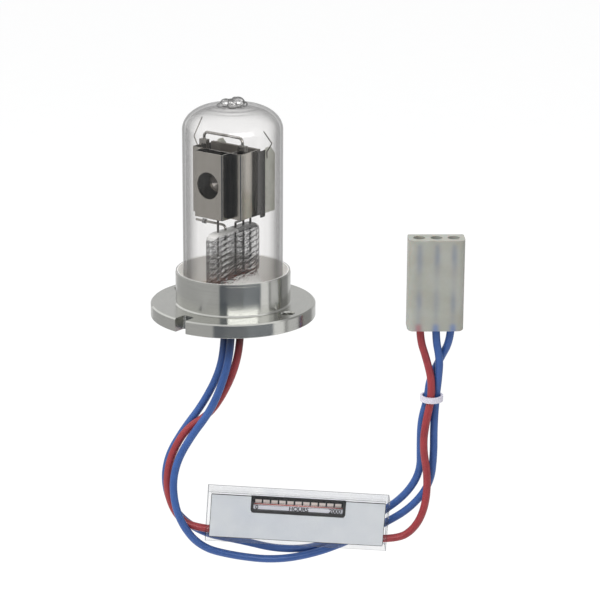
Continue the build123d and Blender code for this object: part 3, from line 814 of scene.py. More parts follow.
@dataclass(frozen=True)
class Matt:
    """Plain opaque finish with a grain and a cloud of a second tone, and a glow that can be set as painted light."""

    name: str
    colour: Colour
    second: Colour
    roughness: float = 0.55
    metallic: float = 0.0
    grain_scale: float = 1500.0
    cloud_scale: float = 200.0
    relief: float = 0.006 * MM
    stretch: tuple[float, float, float] = (1.0, 1.0, 1.0)
    # Strength of a painted glow, for parts that glow though they are no lamp.
    glow: float = 0.0

    def build(self) -> bpy.types.Material:
        """Make the material.

        Returns:
            The new material.
        """
        s = Shader(self.name)
        spot = s.placed(s.coords(), self.stretch)
        grain = s.noise(spot, self.grain_scale, 3.0, 0.65)
        cloud = s.noise(spot, self.cloud_scale, 3.0)
        level = s.math("MULTIPLY_ADD", grain, 0.4, s.math("MULTIPLY", cloud, 0.6))
        colour = s.ramp(level, [(0.3, self.second), (0.7, self.colour)])
        rough = s.math("MULTIPLY_ADD", grain, 0.12, self.roughness - 0.06)
        normal = s.bump(grain, self.relief, 0.8)
        body = s.node("BsdfPrincipled", {"Base Color": colour, "Roughness": rough, "Normal": normal,
                                         "Metallic": self.metallic, "Emission Color": colour,
                                         "Emission Strength": self.glow})
        return s.finish(body.outputs[0])


class Finish(Enum):
    """The finishes of the lamp, by name."""

    ALUMINIUM = TurnedMetal()
    DULL_SHEET = SheetMetal("dull_sheet", (0.26, 0.245, 0.225, 1.0), (0.16, 0.15, 0.14, 1.0), 0.34)
    # The window's and the shield's side walls carry painted reflection bands, by place along Y in millimetres.
    WINDOW = SheetMetal("window_sheet", painted_reflection_bands=((-11.7, 1.3), (-11.4, 0.75), (-10.2, 0.95), (-9.2, 0.55), (-8.0, 0.85)))
    SHIELD = SheetMetal("shield_sheet", painted_reflection_bands=((-7.7, 0.9), (-6.9, 1.1), (-6.0, 1.5), (-5.0, 1.95), (-3.7, 1.95),
                                               (-2.8, 1.5), (-2.2, 0.32), (0.1, 0.27)))
    ROD = SheetMetal("nickel_rod", (0.40, 0.385, 0.36, 1.0), (0.26, 0.25, 0.235, 1.0), 0.24)
    DARK_LEAD = SheetMetal("dark_lead", (0.16, 0.15, 0.14, 1.0), (0.08, 0.075, 0.07, 1.0), 0.28)
    WING = WingMetal()
    OUTER_GLASS = SeenGlass("bulb_glass_outer", ((1.0, 0.985), (0.65, 0.965), (0.49, 0.93), (0.39, 0.84),
                                                 (0.30, 0.62), (0.20, 0.52), (0.10, 0.60), (0.03, 0.85)),
                            gloss=0.035)
    INNER_GLASS = SeenGlass("bulb_glass_inner", ((1.0, 0.975), (0.65, 0.94), (0.50, 0.84), (0.36, 0.68),
                                                 (0.17, 0.72), (0.0, 0.80)), gloss=0.01, gloss_edge=0.2)
    TIP_GLASS = SeenGlass("tip_glass", ((1.0, 0.97), (0.85, 0.90), (0.70, 0.62), (0.50, 0.25),
                                        (0.30, 0.12), (0.0, 0.30)), gloss=0.14, ripple=0.22 * MM,
                          ripple_scale=650.0)
    PRESS_GLASS = RibbedGlass()
    CASE = CaseGlass()
    CAPILLARY = SeenGlass("capillary_glass", ((1.0, 0.97), (0.5, 0.8), (0.0, 0.4)), gloss=0.06)
    BLUE = Insulation("blue_insulation", srgb(58, 95, 160), srgb(48, 82, 144))
    RED = Insulation("red_insulation", srgb(160, 56, 60), srgb(138, 46, 52))
    NYLON = Nylon()
    TIE = Matt("tie_nylon", srgb(222, 218, 230), srgb(205, 200, 214), 0.45)
    LABEL = Matt("grey_plate", srgb(226, 229, 232), srgb(220, 223, 226), 0.5, relief=0.002 * MM)
    FRAME = Matt("black_frame", srgb(26, 25, 26), srgb(17, 17, 18), 0.5)
    # The scale and its marks glow a little: painted light that lifts the shade of the dial's recess.
    SCALE = Matt("white_scale", srgb(240, 240, 246), srgb(228, 228, 236), 0.55, glow=0.28)
    MARK = Matt("scale_mark", srgb(242, 232, 226), srgb(226, 214, 208), 0.55, glow=0.24)
    INK = Matt("scale_ink", srgb(38, 36, 40), srgb(26, 25, 28), 0.5)
    COLUMN = Matt("indicator_metal", srgb(214, 104, 84), srgb(186, 84, 74), 0.35, 0.2)
    BRASS = Matt("tab_brass", (0.62, 0.50, 0.27, 1.0), (0.48, 0.38, 0.20, 1.0), 0.32, 1.0)
    RESISTOR = Matt("resistor_body", srgb(186, 160, 120), srgb(165, 138, 100), 0.5)
    TINNED = Matt("tinned_contact", (0.52, 0.53, 0.55, 1.0), (0.36, 0.37, 0.39, 1.0), 0.30, 1.0)
    CEMENT = Matt("white_cement", srgb(228, 216, 204), srgb(120, 84, 70), 0.8, relief=0.05 * MM,
                  cloud_scale=300.0)
    SILICONE = Matt("silicone", srgb(222, 218, 208), srgb(205, 200, 190), 0.5)
    COPPER = Matt("copper_clad", srgb(172, 96, 66), srgb(112, 54, 40), 0.35, 0.85, cloud_scale=500.0)
    COIL = Matt("coated_coil", srgb(226, 222, 212), srgb(180, 172, 160), 0.8)
    CERAMIC = Matt("alumina", srgb(104, 99, 92), srgb(84, 80, 74), 0.6)
    MOLYBDENUM = Matt("molybdenum", (0.30, 0.30, 0.31, 1.0), (0.20, 0.20, 0.21, 1.0), 0.30, 1.0)

    @property
    def material(self) -> bpy.types.Material:
        """Give the finish's material, which is made the first time it is asked for."""
        found = bpy.data.materials.get(self.value.name + LOOK)
        return found if found else self.value.build()


Looks = tuple[tuple[Finish, tuple[str, ...]], ...]


def dress(looks: Looks) -> None:
    """Give nodes of the frame their finishes.

    Args:
        looks: Finishes, each with the names of its nodes.
    """
    for finish, nodes in looks:
        for name in nodes:
            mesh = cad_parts[name].data
            mesh.materials.clear()
            mesh.materials.append(finish.material)
            log.info("dressed %s as %s", name, finish.value.name)


def settle(piece: bpy.types.Object, node: str | None = None) -> None:
    """Let a piece ride and the node that it stands for.

    Args:
        piece: The piece.
        node: Node that it replaces, if any.
    """
    if node is not None:
        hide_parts(node)
    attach(piece, ROOT)
    faces = f" with {len(piece.data.polygons)} faces" if piece.type == "MESH" else ""
    log.info("built %s%s", piece.name, faces)


def new_piece(name: str, points: Sequence[Sequence[float]], faces: Sequence[Sequence[int]],
              finishes: Sequence[Finish], place: Matrix | None = None,
              smooth: bool = True) -> bpy.types.Object:
    """Make a mesh piece whose place is in its mesh.

    Args:
        name: Name of the piece.
        points: Its vertices.
        faces: Its faces, as lists of vertex numbers.
        finishes: Finishes for its material slots.
        place: Matrix from the points' place to the part's frame.
        smooth: Whether it is smooth shaded.

    Returns:
        The new object.
    """
    mesh = bpy.data.meshes.new(name)
    mesh.from_pydata([tuple(point) for point in points], [], faces)
    if place is not None:
        mesh.transform(place)
    for finish in finishes:
        mesh.materials.append(finish.material)
    if smooth:
        mesh.shade_smooth()
    else:
        mesh.shade_flat()
    mesh.update()
    return in_scene(name, mesh)


def lathe(profile: Sequence[tuple[float, float]], segments: int) -> tuple[list, list]:
    """Turn an open outline about Z, with its end points on the axis closed to one vertex.

    Args:
        profile: Points of radius and height.
        segments: Steps round the axis.

    Returns:
        Vertices and faces, whose normals point left of the outline's run when seen from outside.
    """
    points: list[tuple[float, float, float]] = []
    rows: list[list[int]] = []
    for radius, height in profile:
        if radius < ON_AXIS:
            points.append((0.0, 0.0, height))
            rows.append([len(points) - 1] * segments)
            continue
        start = len(points)
        for step in range(segments):
            angle = 2 * math.pi * step / segments
            points.append((radius * math.cos(angle), radius * math.sin(angle), height))
        rows.append(list(range(start, start + segments)))
    faces = []
    for low, high in zip(rows, rows[1:]):
        for step in range(segments):
            after = (step + 1) % segments
            corners = [low[step], low[after], high[after], high[step]]
            kept = [corner for number, corner in enumerate(corners) if corner not in corners[:number]]
            if len(kept) > 2:
                faces.append(kept)
    return points, faces


def plain_mesh(source: bpy.types.Object, name: str) -> bpy.types.Object:
    """Turn an object with modifiers into a plain mesh object and delete the first.

    Args:
        source: Object whose evaluated mesh is taken.
        name: Name of the new object.

    Returns:
        The plain object.
    """
    graph = bpy.context.evaluated_depsgraph_get()
    mesh = bpy.data.meshes.new_from_object(source.evaluated_get(graph), depsgraph=graph)
    mesh.name = name
    bpy.data.objects.remove(source)
    return in_scene(name, mesh)


@dataclass
class PhotoCamera:
    """Camera at the photograph's viewing angle."""

    azimuth: float = HANG_TURN
    distance: float = 0.700
    height: float = 0.2135
    yaw: float = math.radians(1.66)
    pitch: float = math.radians(16.95)
    roll: float = math.radians(0.31)
    focal_pixels: float = 2411.0
    frame_pixels: float = 600.0
    sensor: float = 36.0
    near: float = 0.02
    far: float = 20.0

    def place(self) -> None:
        """Make the camera and set it as the scene's."""
        level = math.cos(self.pitch)
        forward = Vector((math.sin(self.yaw) * level, math.cos(self.yaw) * level, -math.sin(self.pitch)))
        right = Vector((math.cos(self.yaw), -math.sin(self.yaw), 0))
        up = right.cross(forward)
        across = math.cos(self.roll) * right + math.sin(self.roll) * up
        upward = math.cos(self.roll) * up - math.sin(self.roll) * right
        axes = Matrix((across, upward, -forward)).transposed().to_4x4()
        turn = Matrix.Rotation(self.azimuth, 4, "Z")
        data = bpy.data.cameras.new("photo_camera")
        data.sensor_width = self.sensor
        data.lens = self.focal_pixels * self.sensor / self.frame_pixels
        data.clip_start = self.near
        data.clip_end = self.far
        camera = in_scene("photo_camera", data)
        camera.matrix_world = turn @ Matrix.Translation((0, -self.distance, self.height)) @ axes
        bpy.context.scene.camera = camera
        log.info("camera placed, lens %.1f mm", data.lens)


@dataclass(frozen=True)
class Card:
    """Upright studio card that only reflections see, between two bearings from the camera's side."""

    name: str
    start: float
    end: float
    colour: Colour
    low: float = -0.24
    high: float = 0.55


@dataclass(frozen=True)
class Lamp:
    """Soft square lamp that faces the object from a bearing, and that reflections don't see."""

    name: str
    bearing: float
    distance: float
    height: float
    size: float
    watts: float


@dataclass
class Studio:
    """Pale floor, white surroundings, soft lamps and the cards that polished metal mirrors."""

    floor_level: float = -0.30
    floor_size: float = 14.0
    white: float = 1.0
    ambient: float = 0.62
    ambient_colour: Colour = (0.98, 0.99, 1.0, 1.0)
    floor_glow: float = 1.08
    floor_share: float = 0.78
    card_radius: float = 0.45
    card_step: float = 2.0
    cards: tuple[Card, ...] = (
        Card("front_low", -27.0, 20.0, (0.105, 0.120, 0.145, 1.0), high=0.09),
        Card("front_grey", 20.0, 56.0, (0.190, 0.212, 0.245, 1.0), high=0.09),
        Card("front_edge", -27.0, -11.0, (0.30, 0.33, 0.37, 1.0), low=0.07),
        Card("front_light", -11.0, 50.0, grey(4.8), low=0.09, high=0.34),
        Card("right_light", 56.0, 74.0, grey(1.12), high=0.07),
        Card("right_line", 74.0, 80.0, grey(0.42), high=0.07),
        Card("right_soft", 80.0, 101.3, grey(0.80), high=0.07),
        Card("side_dark", 101.3, 112.0, grey(0.10), high=0.07),
        Card("side_grey", 112.0, 140.0, grey(0.38), high=0.07),
        Card("right_high", 50.0, 76.0, grey(1.9), low=0.07),
        Card("side_high", 76.0, 88.0, grey(1.2), low=0.07),
        Card("far_high", 88.0, 140.0, grey(0.42), low=0.07),
        Card("back_soft", 140.0, 210.0, grey(0.74)),
        Card("left_soft", -150.0, -27.0, grey(0.58), high=0.07),
        Card("left_high", -150.0, -27.0, grey(1.25), low=0.07),
    )
    lamps: tuple[Lamp, ...] = (
        Lamp("key_lamp", -48.0, distance=1.1, height=1.2, size=0.9, watts=17.0),
        Lamp("top_lamp", 120.0, distance=0.5, height=1.4, size=0.8, watts=7.0),
    )

    def around(self, bearing: float, distance: float) -> tuple[float, float]:
        """Give a place round the object by its bearing from the camera's side, to the right.

        Args:
            bearing: Bearing in degrees.
            distance: Distance from the axis in metres.

        Returns:
            X and Y.
        """
        angle = HANG_TURN - math.pi / 2 + math.radians(bearing)
        return (distance * math.cos(angle), distance * math.sin(angle))

    def surroundings(self) -> None:
        """Make the world: white where it is seen, softer where it lights."""
        world = bpy.data.worlds.new("studio")
        bpy.context.scene.world = world
        world.use_nodes = True
        sky = NodeTree(world.node_tree)
        light = sky.node("Background", {"Color": self.ambient_colour, "Strength": self.ambient}).outputs[0]
        back = sky.node("Background", {"Color": grey(1.0), "Strength": self.white}).outputs[0]
        both = sky.node("MixShader", {0: sky.sees_background(), 1: light, 2: back}).outputs[0]
        sky.node("OutputWorld", {"Surface": both})

    def floor(self) -> None:
        """Lay the pale floor, which keeps the object's shadow."""
        s = Shader("pale_floor")
        speck = s.noise(s.coords(), 40.0, 2.0)
        paint = s.ramp(speck, [(0.3, grey(0.90)), (0.7, grey(0.93))])
        matt = s.node("BsdfDiffuse", {"Color": paint}).outputs[0]
        glow = s.node("Emission", {"Color": grey(1.0), "Strength": self.floor_glow}).outputs[0]
        share = s.math("MULTIPLY", s.sees_background(), self.floor_share)
        both = s.node("MixShader", {0: share, 1: matt, 2: glow}).outputs[0]
        half = self.floor_size / 2
        corners = ((-half, -half), (half, -half), (half, half), (-half, half))
        mesh = bpy.data.meshes.new("floor")
        mesh.from_pydata([(x, y, self.floor_level) for x, y in corners], [], [(0, 1, 2, 3)])
        mesh.materials.append(s.finish(both))
        in_scene("floor", mesh)

    def stand(self, card: Card) -> None:
        """Stand one card on its bearings.

        Args:
            card: The card to make.
        """
        steps = max(1, round((card.end - card.start) / self.card_step))
        points = []
        for step in range(steps + 1):
            x, y = self.around(card.start + (card.end - card.start) * step / steps, self.card_radius)
            points += [(x, y, card.low), (x, y, card.high)]
        faces = [(2 * i, 2 * i + 1, 2 * i + 3, 2 * i + 2) for i in range(steps)]
        s = Shader(card.name)
        glow = s.node("Emission", {"Color": card.colour, "Strength": 1.0}).outputs[0]
        mesh = bpy.data.meshes.new(card.name)
        mesh.from_pydata(points, [], faces)
        mesh.materials.append(s.finish(glow))
        made = in_scene(card.name, mesh)
        for ray in ("camera", "diffuse", "transmission", "shadow", "volume_scatter"):
            setattr(made, "visible_" + ray, False)

    def hang(self, lamp: Lamp) -> None:
        """Hang one lamp.

        Args:
            lamp: The lamp to make.
        """
        data = bpy.data.lights.new(lamp.name, "AREA")
        data.size = lamp.size
        data.energy = lamp.watts
        made = in_scene(lamp.name, data)
        made.location = (*self.around(lamp.bearing, lamp.distance), lamp.height)
        made.rotation_mode = "QUATERNION"
        made.rotation_quaternion = Vector(made.location).to_track_quat("Z", "Y")
        made.visible_glossy = False

    def build(self) -> None:
        """Make the whole studio."""
        bpy.context.scene.view_settings.view_transform = "Standard"
        self.surroundings()
        self.floor()
        for card in self.cards:
            self.stand(card)
        for lamp in self.lamps:
            self.hang(lamp)


class Ends(Enum):
    """What the far end of a lead goes to."""

    CONTACT = "connector"
    METER = "object"


@dataclass
class Lead:
    """One free lead: its route in the plane of the leads, in millimetres, and what it runs between."""

    name: str
    finish: Finish
    length: float
    far_end: Ends
    route: Sequence[tuple[float, float, float]]
    with_pieces: tuple[str, ...] = ()
    diameter: float = 2.4 * MM
    roundness: int = 5
    steps: int = 10

    def points(self) -> list[Vector]:
        """Give the route's points in the part's frame."""
        turn = hang_place()
        return [turn @ (Vector(point) * MM) for point in self.route]

    def build(self) -> bpy.types.Object:
        """Make the lead as one smooth curve.

        Returns:
            The curve object.
        """
        data = bpy.data.curves.new(self.name + "_lead", "CURVE")
        data.dimensions = "3D"
        data.bevel_depth = self.diameter / 2
        data.bevel_resolution = self.roundness
        data.resolution_u = self.steps
        data.use_fill_caps = True
        spline = data.splines.new("NURBS")
        points = self.points()
        spline.points.add(len(points) - 1)
        for place, point in zip(spline.points, points):
            place.co = (*point, 1.0)
        spline.order_u = 3
        spline.use_endpoint_u = True
        data.materials.append(self.finish.material)
        made = in_scene(self.name + "_lead", data)
        settle(made, self.name)
        return made

    def declare(self, made: bpy.types.Object) -> None:
        """Take the lead's curve and do nothing more with it.

        Args:
            made: The lead's curve; not used.
        """


@dataclass
class Harness:
    """The four free leads of the lamp."""

    bushing: float = -6.2
    crimp: float = -6.0
    meter_half: float = 28.25
    meter_drop: float = -5.5
    meter_entry: float = 6.2
    bend_out: float = 3.4

    def on_meter(self, along: float, up: float) -> tuple[float, float, float]:
        """Give a point of the lead plane by its place on the meter's mid-plane, in millimetres.

        Args:
            along: Place along the meter from its middle.
            up: Place above its middle.

        Returns:
            Across, depth and level.
        """
        across = METER_ACROSS / MM + along * math.cos(METER_TILT) + up * math.sin(METER_TILT)
        level = METER_LEVEL / MM - along * math.sin(METER_TILT) + up * math.cos(METER_TILT)
        return (across, METER_DEPTH / MM, level)

    def leads(self) -> list[Lead]:
        """Give the four leads with their routes.

        Returns:
            The leads, the blue ones first.
        """
        bushing = self.bushing
        crimp = self.crimp
        outer = Lead("blue_wire_outer", Finish.BLUE, 0.2111, Ends.CONTACT, [
            (-2.6, 1.0, bushing), (-2.6, 1.0, -13.5), (-4.2, 1.8, -23.5), (-9.4, 2.2, -34.0),
            (-15.6, 2.6, -42.6), (-20.5, 2.3, -51.2), (-21.6, 2.4, -60.6), (-18.2, 2.4, -70.4),
            (-9.8, 2.4, -77.0), (2.0, 2.9, -79.6), (14.0, 4.0, -83.3), (26.5, 5.0, -83.2),
            (37.4, 5.2, -77.6), (46.6, 4.4, -71.0), (54.0, 3.2, -64.6), (58.2, 1.9, -56.6),
            (57.9, 1.4, -47.6), (58.0, 1.3, -39.2), (59.8, 0.95, -32.2), (60.4, 1.8, -26.0),
            (63.6, 2.9, -19.8), (66.5, 0.0, -12.6), (66.5, 0.0, crimp),
        ], ("plug_housing", "plug_contact_3", "cable_tie"))
        inner = Lead("blue_wire_inner", Finish.BLUE, 0.2151, Ends.CONTACT, [
            (-0.6, -1.6, bushing), (-0.6, -1.6, -14.0), (-2.8, -2.2, -24.4), (-7.0, -2.6, -34.6),
            (-13.2, -2.7, -43.0), (-17.8, -2.8, -51.6), (-19.0, -3.4, -60.4), (-16.9, -4.6, -70.0),
            (-10.6, -3.6, -79.2), (0.2, 0.2, -83.8), (13.2, 2.2, -86.2), (25.6, 2.3, -84.0),
            (36.6, 2.4, -79.6), (46.8, 2.3, -74.2), (55.4, 1.7, -68.6), (61.3, 0.9, -60.2),
            (62.1, 0.6, -50.4), (61.9, 0.6, -41.4), (62.3, 0.8, -32.6), (62.9, 0.0, -25.6),
            (63.2, -0.8, -18.8), (61.8, 0.0, -12.4), (61.8, 0.0, crimp),
        ], ("plug_contact_2",))
        lamp_side = Lead("red_wire_lamp_side", Finish.RED, 0.0872, Ends.METER, [
            (2.2, 0.6, bushing), (2.2, 0.6, -13.0), (0.6, 0.5, -21.6), (-2.8, 0.3, -29.6),
            (-7.4, 0.0, -36.6), (-14.4, -0.1, -41.0), (-18.8, -0.2, -48.6), (-20.7, -0.2, -56.0),
            (-20.5, -0.1, -63.2), (-17.7, -0.9, -69.9),
            self.on_meter(-self.meter_half - self.bend_out, self.meter_drop),
            self.on_meter(-self.meter_half + self.meter_entry, self.meter_drop),
        ], ("meter_tab_left", "meter_cover", "meter_back", "meter_face", "dial_frame", "dial_scale",
            "indicator_tube", "indicator_column"))
        plug_side = Lead("red_wire_plug_side", Finish.RED, 0.0851, Ends.CONTACT, [
            self.on_meter(self.meter_half - self.meter_entry, self.meter_drop),
            self.on_meter(self.meter_half + self.bend_out, self.meter_drop),
            (56.6, -2.5, -73.6), (59.6, -2.3, -66.6), (60.2, -2.1, -57.0), (58.4, -1.9, -46.6),
            (59.3, -1.6, -38.6), (60.7, -1.35, -31.8), (60.8, -1.2, -25.4), (59.0, -0.7, -18.4),
            (56.9, 0.0, -12.2), (56.9, 0.0, crimp),
        ], ("plug_contact_1", "meter_tab_right", "meter_resistor"))
        return [outer, inner, lamp_side, plug_side]

    def build(self) -> None:
        for lead in self.leads():
            lead.declare(lead.build())


@dataclass
class Base:
    """Turned flange with its collar, cement and bushing."""

    looks: Looks = (
        (Finish.ALUMINIUM, ("flange_base",)),
        (Finish.CEMENT, ("base_cement",)),
        (Finish.SILICONE, ("lead_bushing",)),
    )

    def build(self) -> None:
        """Dress the base."""
        dress(self.looks)


@dataclass
class Bulb:
    """Blown bulb: a closed shell of even wall with the melted seal of its pumping tube."""

    wall: float = 1.0 * MM
    straight: float = 53.2 * MM
    rise: float = 7.3 * MM
    flat: float = 5.0 * MM
    cone_rise: float = 1.5 * MM
    cone_top: float = 2.3 * MM
    cone_shares: tuple[float, ...] = (0.35, 0.6, 0.8, 1.0)
    least_radius: float = 0.3 * MM
    dent_depth: float = 0.16 * MM
    dent_radius: float = 7.6 * MM
    dent_width: float = 0.8 * MM
    segments: int = 160
    side_steps: int = 24
    dome_steps: int = 60
    # The lobes of the melted seal: centre and radius in millimetres, and how far each is flattened.
    lobes: tuple[tuple[tuple[float, float, float], float, float], ...] = (
        ((1.6, 0.0, -0.75), 2.1, 0.84), ((-2.0, 0.1, -0.95), 1.75, 0.80), ((0.0, 0.1, -1.2), 2.3, 0.7),
        ((2.5, -0.7, 0.0), 0.8, 0.9), ((0.7, 0.5, 0.15), 0.95, 0.8), ((-0.5, -1.5, -0.6), 0.85, 1.0),
        ((3.3, 0.3, -1.3), 1.2, 0.75), ((-3.6, 0.0, -1.6), 1.2, 0.6), ((-2.6, -0.7, -0.1), 0.6, 1.0),
    )
    voxel: float = 0.11 * MM
    ease_share: float = 0.5
    ease_rounds: int = 4
    outer: float = field(init=False)
    seat: float = field(init=False)

    def __post_init__(self) -> None:
        """Take the bulb's radius and lower end from its solid."""
        low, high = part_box("glass_envelope")
        self.outer = high.x
        self.seat = low.z

    def outline(self, inset: float) -> list[tuple[float, float]]:
        """Give the half outline from the lower edge to the axis.

        Args:
            inset: How far it is drawn in from the outside.

        Returns:
            Points of radius and height.
        """
        radius = self.outer - inset
        points = [(radius, self.seat)]
        for step in range(1, self.side_steps):
            points.append((radius, self.seat + (self.straight - self.seat) * step / self.side_steps))
        for step in range(self.dome_steps + 1):
            angle = math.pi / 2 * step / self.dome_steps
            across = self.flat + (radius - self.flat) * math.cos(angle)
            dent = self.dent_depth * math.exp(-((across - self.dent_radius) / self.dent_width) ** 2)
            points.append((across, self.straight + (self.rise - inset) * math.sin(angle) - dent))
        top = self.straight + self.rise - inset
        for share in self.cone_shares:
            across = self.flat + (self.cone_top - inset - self.flat) * share
            points.append((max(across, self.least_radius), top + self.cone_rise * share ** 2))
        points.append((0.0, top + self.cone_rise))
        return points

    def shell(self) -> bpy.types.Object:
        """Make the bulb's wall.

        Returns:
            The closed shell.
        """
        outer_points, outer_faces = lathe(self.outline(0.0), self.segments)
        inner_points, inner_faces = lathe(self.outline(self.wall), self.segments)
        offset = len(outer_points)
        points = outer_points + inner_points
        faces = outer_faces + [[offset + corner for corner in reversed(face)] for face in inner_faces]
        count = self.segments
        rim = [[offset + step, offset + (step + 1) % count, (step + 1) % count, step] for step in range(count)]
        made = new_piece("bulb_shell", points, faces + rim, [Finish.OUTER_GLASS, Finish.INNER_GLASS])
        inner_from = len(outer_faces)
        for polygon in made.data.polygons[inner_from:inner_from + len(inner_faces)]:
            polygon.material_index = 1
        return made

    def tip(self) -> bpy.types.Object:
        """Make the melted seal: two lobes drawn together with a sunk middle.

        Returns:
            The seal's piece.
        """
        seal = self.straight + self.rise + self.cone_rise
        place = hang_place() @ Matrix.Translation((0, 0, seal))
        build = bmesh.new()
        for centre, radius, squash in self.lobes:
            lobe = place @ Matrix.Translation(Vector(centre) * MM) @ Matrix.Diagonal((1, 1, squash, 1))
            bmesh.ops.create_uvsphere(build, u_segments=32, v_segments=20, radius=radius * MM, matrix=lobe)
        mesh = bpy.data.meshes.new("tip_seed")
        build.to_mesh(mesh)
        build.free()
        seed = in_scene("tip_seed", mesh)
        melt = seed.modifiers.new("melt", "REMESH")
        melt.mode = "VOXEL"
        melt.voxel_size = self.voxel
        ease = seed.modifiers.new("ease", "SMOOTH")
        ease.factor = self.ease_share
        ease.iterations = self.ease_rounds
        made = plain_mesh(seed, "bulb_tip")
        made.data.materials.clear()
        made.data.materials.append(Finish.TIP_GLASS.material)
        made.data.shade_smooth()
        return made

    def build(self) -> None:
        """Make the bulb and let it stand for its solid."""
        settle(self.shell(), "glass_envelope")
        settle(self.tip())


@dataclass
class PressStem:
    """Ribbed glass press that holds the leads, on its flared foot."""

    width: float = 21.8 * MM
    thick: float = 4.5 * MM
    top: float = 22.9 * MM
    bottom: float = 8.0 * MM
    corner: float = 2.6 * MM
    top_edge: float = 1.2 * MM
    foot: float = 0.6 * MM
    foot_radius: float = 13.6 * MM
    row_pitch: float = 1.72 * MM
    row_slant: float = 0.22
    relief: float = 0.50 * MM
    lead_ys: tuple[float, ...] = (-8.6 * MM, -3.6 * MM, 1.2 * MM, 5.0 * MM, 8.4 * MM)
    lead_half: float = 0.55 * MM
    body_power: float = 2 / 6.5
    foot_power: float = 2 / 2.4
    columns: int = 150
    rows: int = 120
    looks: Looks = ((Finish.COPPER, ("lead_tails",)),)

    def half_width(self, height: float) -> float:
        """Give the half width at a height: rounded top corners, flared foot.

        Args:
            height: Height along the axis.

        Returns:
            Half the width.
        """
        half = self.width / 2
        below_top = self.top - height
        if below_top < self.corner:
            return half - self.corner + math.sqrt(max(self.corner ** 2 - (self.corner - below_top) ** 2, 0))
        if height < self.bottom:
            share = (self.bottom - height) / (self.bottom - self.foot)
            return half + (self.foot_radius - half) * share ** 2
        return half

    def half_thick(self, height: float) -> float:
        """Give the half thickness at a height: rounded top edge, flared foot.

        Args:
            height: Height along the axis.

        Returns:
            Half the thickness.
        """
        half = self.thick / 2
        below_top = self.top - height
        edge = self.top_edge
        if below_top < edge:
            return half - edge + math.sqrt(max(edge ** 2 - (edge - below_top) ** 2, 0))
        if height < self.bottom:
            share = (self.bottom - height) / (self.bottom - self.foot)
            return half + (self.foot_radius - half) * share ** 1.6
        return half

    def ripple(self, across: float, height: float, side: int) -> float:
        """Give the depth of the waffle at a point of a face, in metres.

        Args:
            across: Place along Y.
            height: Place along Z.
            side: Which face, 1 or -1.

        Returns:
            How far the face is pressed in.
        """
        if height > self.top - self.corner * 0.5:
            return 0.0
        row = (self.top - height + self.row_slant * side * across) / self.row_pitch
        bars = 0.5 - 0.5 * math.cos(2 * math.pi * row)
        nearest = min(abs(across - y) for y in self.lead_ys)
        seam = math.exp(-(nearest / self.lead_half) ** 2)
        edge = max(0.0, 1 - ((abs(across) / self.half_width(height)) ** 6))
        wobble = 0.25 * math.sin(1900 * across + 3 * row) + 0.2 * math.sin(4100 * height)
        return self.relief * edge * (bars ** 0.6 * (1 - 0.8 * seam) + wobble * 0.35)

    def build(self) -> None:
        """Make the press as one closed skin and let it stand for its solid."""
        points: list[tuple[float, float, float]] = []
        loops: list[list[int]] = []
        ring = 2 * self.columns
        for row in range(self.rows + 1):
            share = row / self.rows
            height = self.foot + (self.top - self.foot) * (1 - (1 - share) ** 1.35)
            half_w = max(self.half_width(height), 0.05 * MM)
            half_t = max(self.half_thick(height), 0.02 * MM)
            loop = []
            for step in range(ring):
                angle = 2 * math.pi * step / ring
                power = self.body_power if height >= self.bottom else self.foot_power
                cosine = math.cos(angle)
                sine = math.sin(angle)
                x = half_t * math.copysign(abs(cosine) ** power, cosine)
                y = half_w * math.copysign(abs(sine) ** (power * 0.75), sine)
                side = 1 if cosine >= 0 else -1
                if height >= self.bottom and abs(cosine) > 0.2:
                    x -= side * self.ripple(y, height, side)
                loop.append(len(points))
                points.append((x, y, height))
            loops.append(loop)
        faces = []
        for low, high in zip(loops, loops[1:]):
            for step in range(ring):
                after = (step + 1) % ring
                faces.append([low[step], low[after], high[after], high[step]])
        faces.append(list(reversed(loops[0])))
        faces.append(list(loops[-1]))
        settle(new_piece("press_glass_body", points, faces, [Finish.PRESS_GLASS]), "glass_stem")
        dress(self.looks)


@dataclass
class Electrodes:
    """Folded nickel boxes, wings, rods and wires inside the bulb."""

    looks: Looks = (
        (Finish.DULL_SHEET, ("focus_aperture", "cathode_partition")),
        (Finish.WINDOW, ("window_box",)),
        (Finish.SHIELD, ("shield_box",)),
        (Finish.WING, ("back_shield",)),
        (Finish.ROD, ("bridge_rod", "bridge_clip_left", "bridge_clip_right", "support_rod",
                      "centring_spring_right", "centring_spring_left")),
        (Finish.DARK_LEAD, ("lead_front", "lead_cathode", "lead_anode", "lead_rear")),
        (Finish.COIL, ("cathode_coil",)),
        (Finish.CERAMIC, ("ceramic_wall",)),
        (Finish.MOLYBDENUM, ("anode_plate",)),
        (Finish.TIP_GLASS, ("support_bead",)),
    )

    def build(self) -> None:
        """Dress the electrode structure."""
        dress(self.looks)


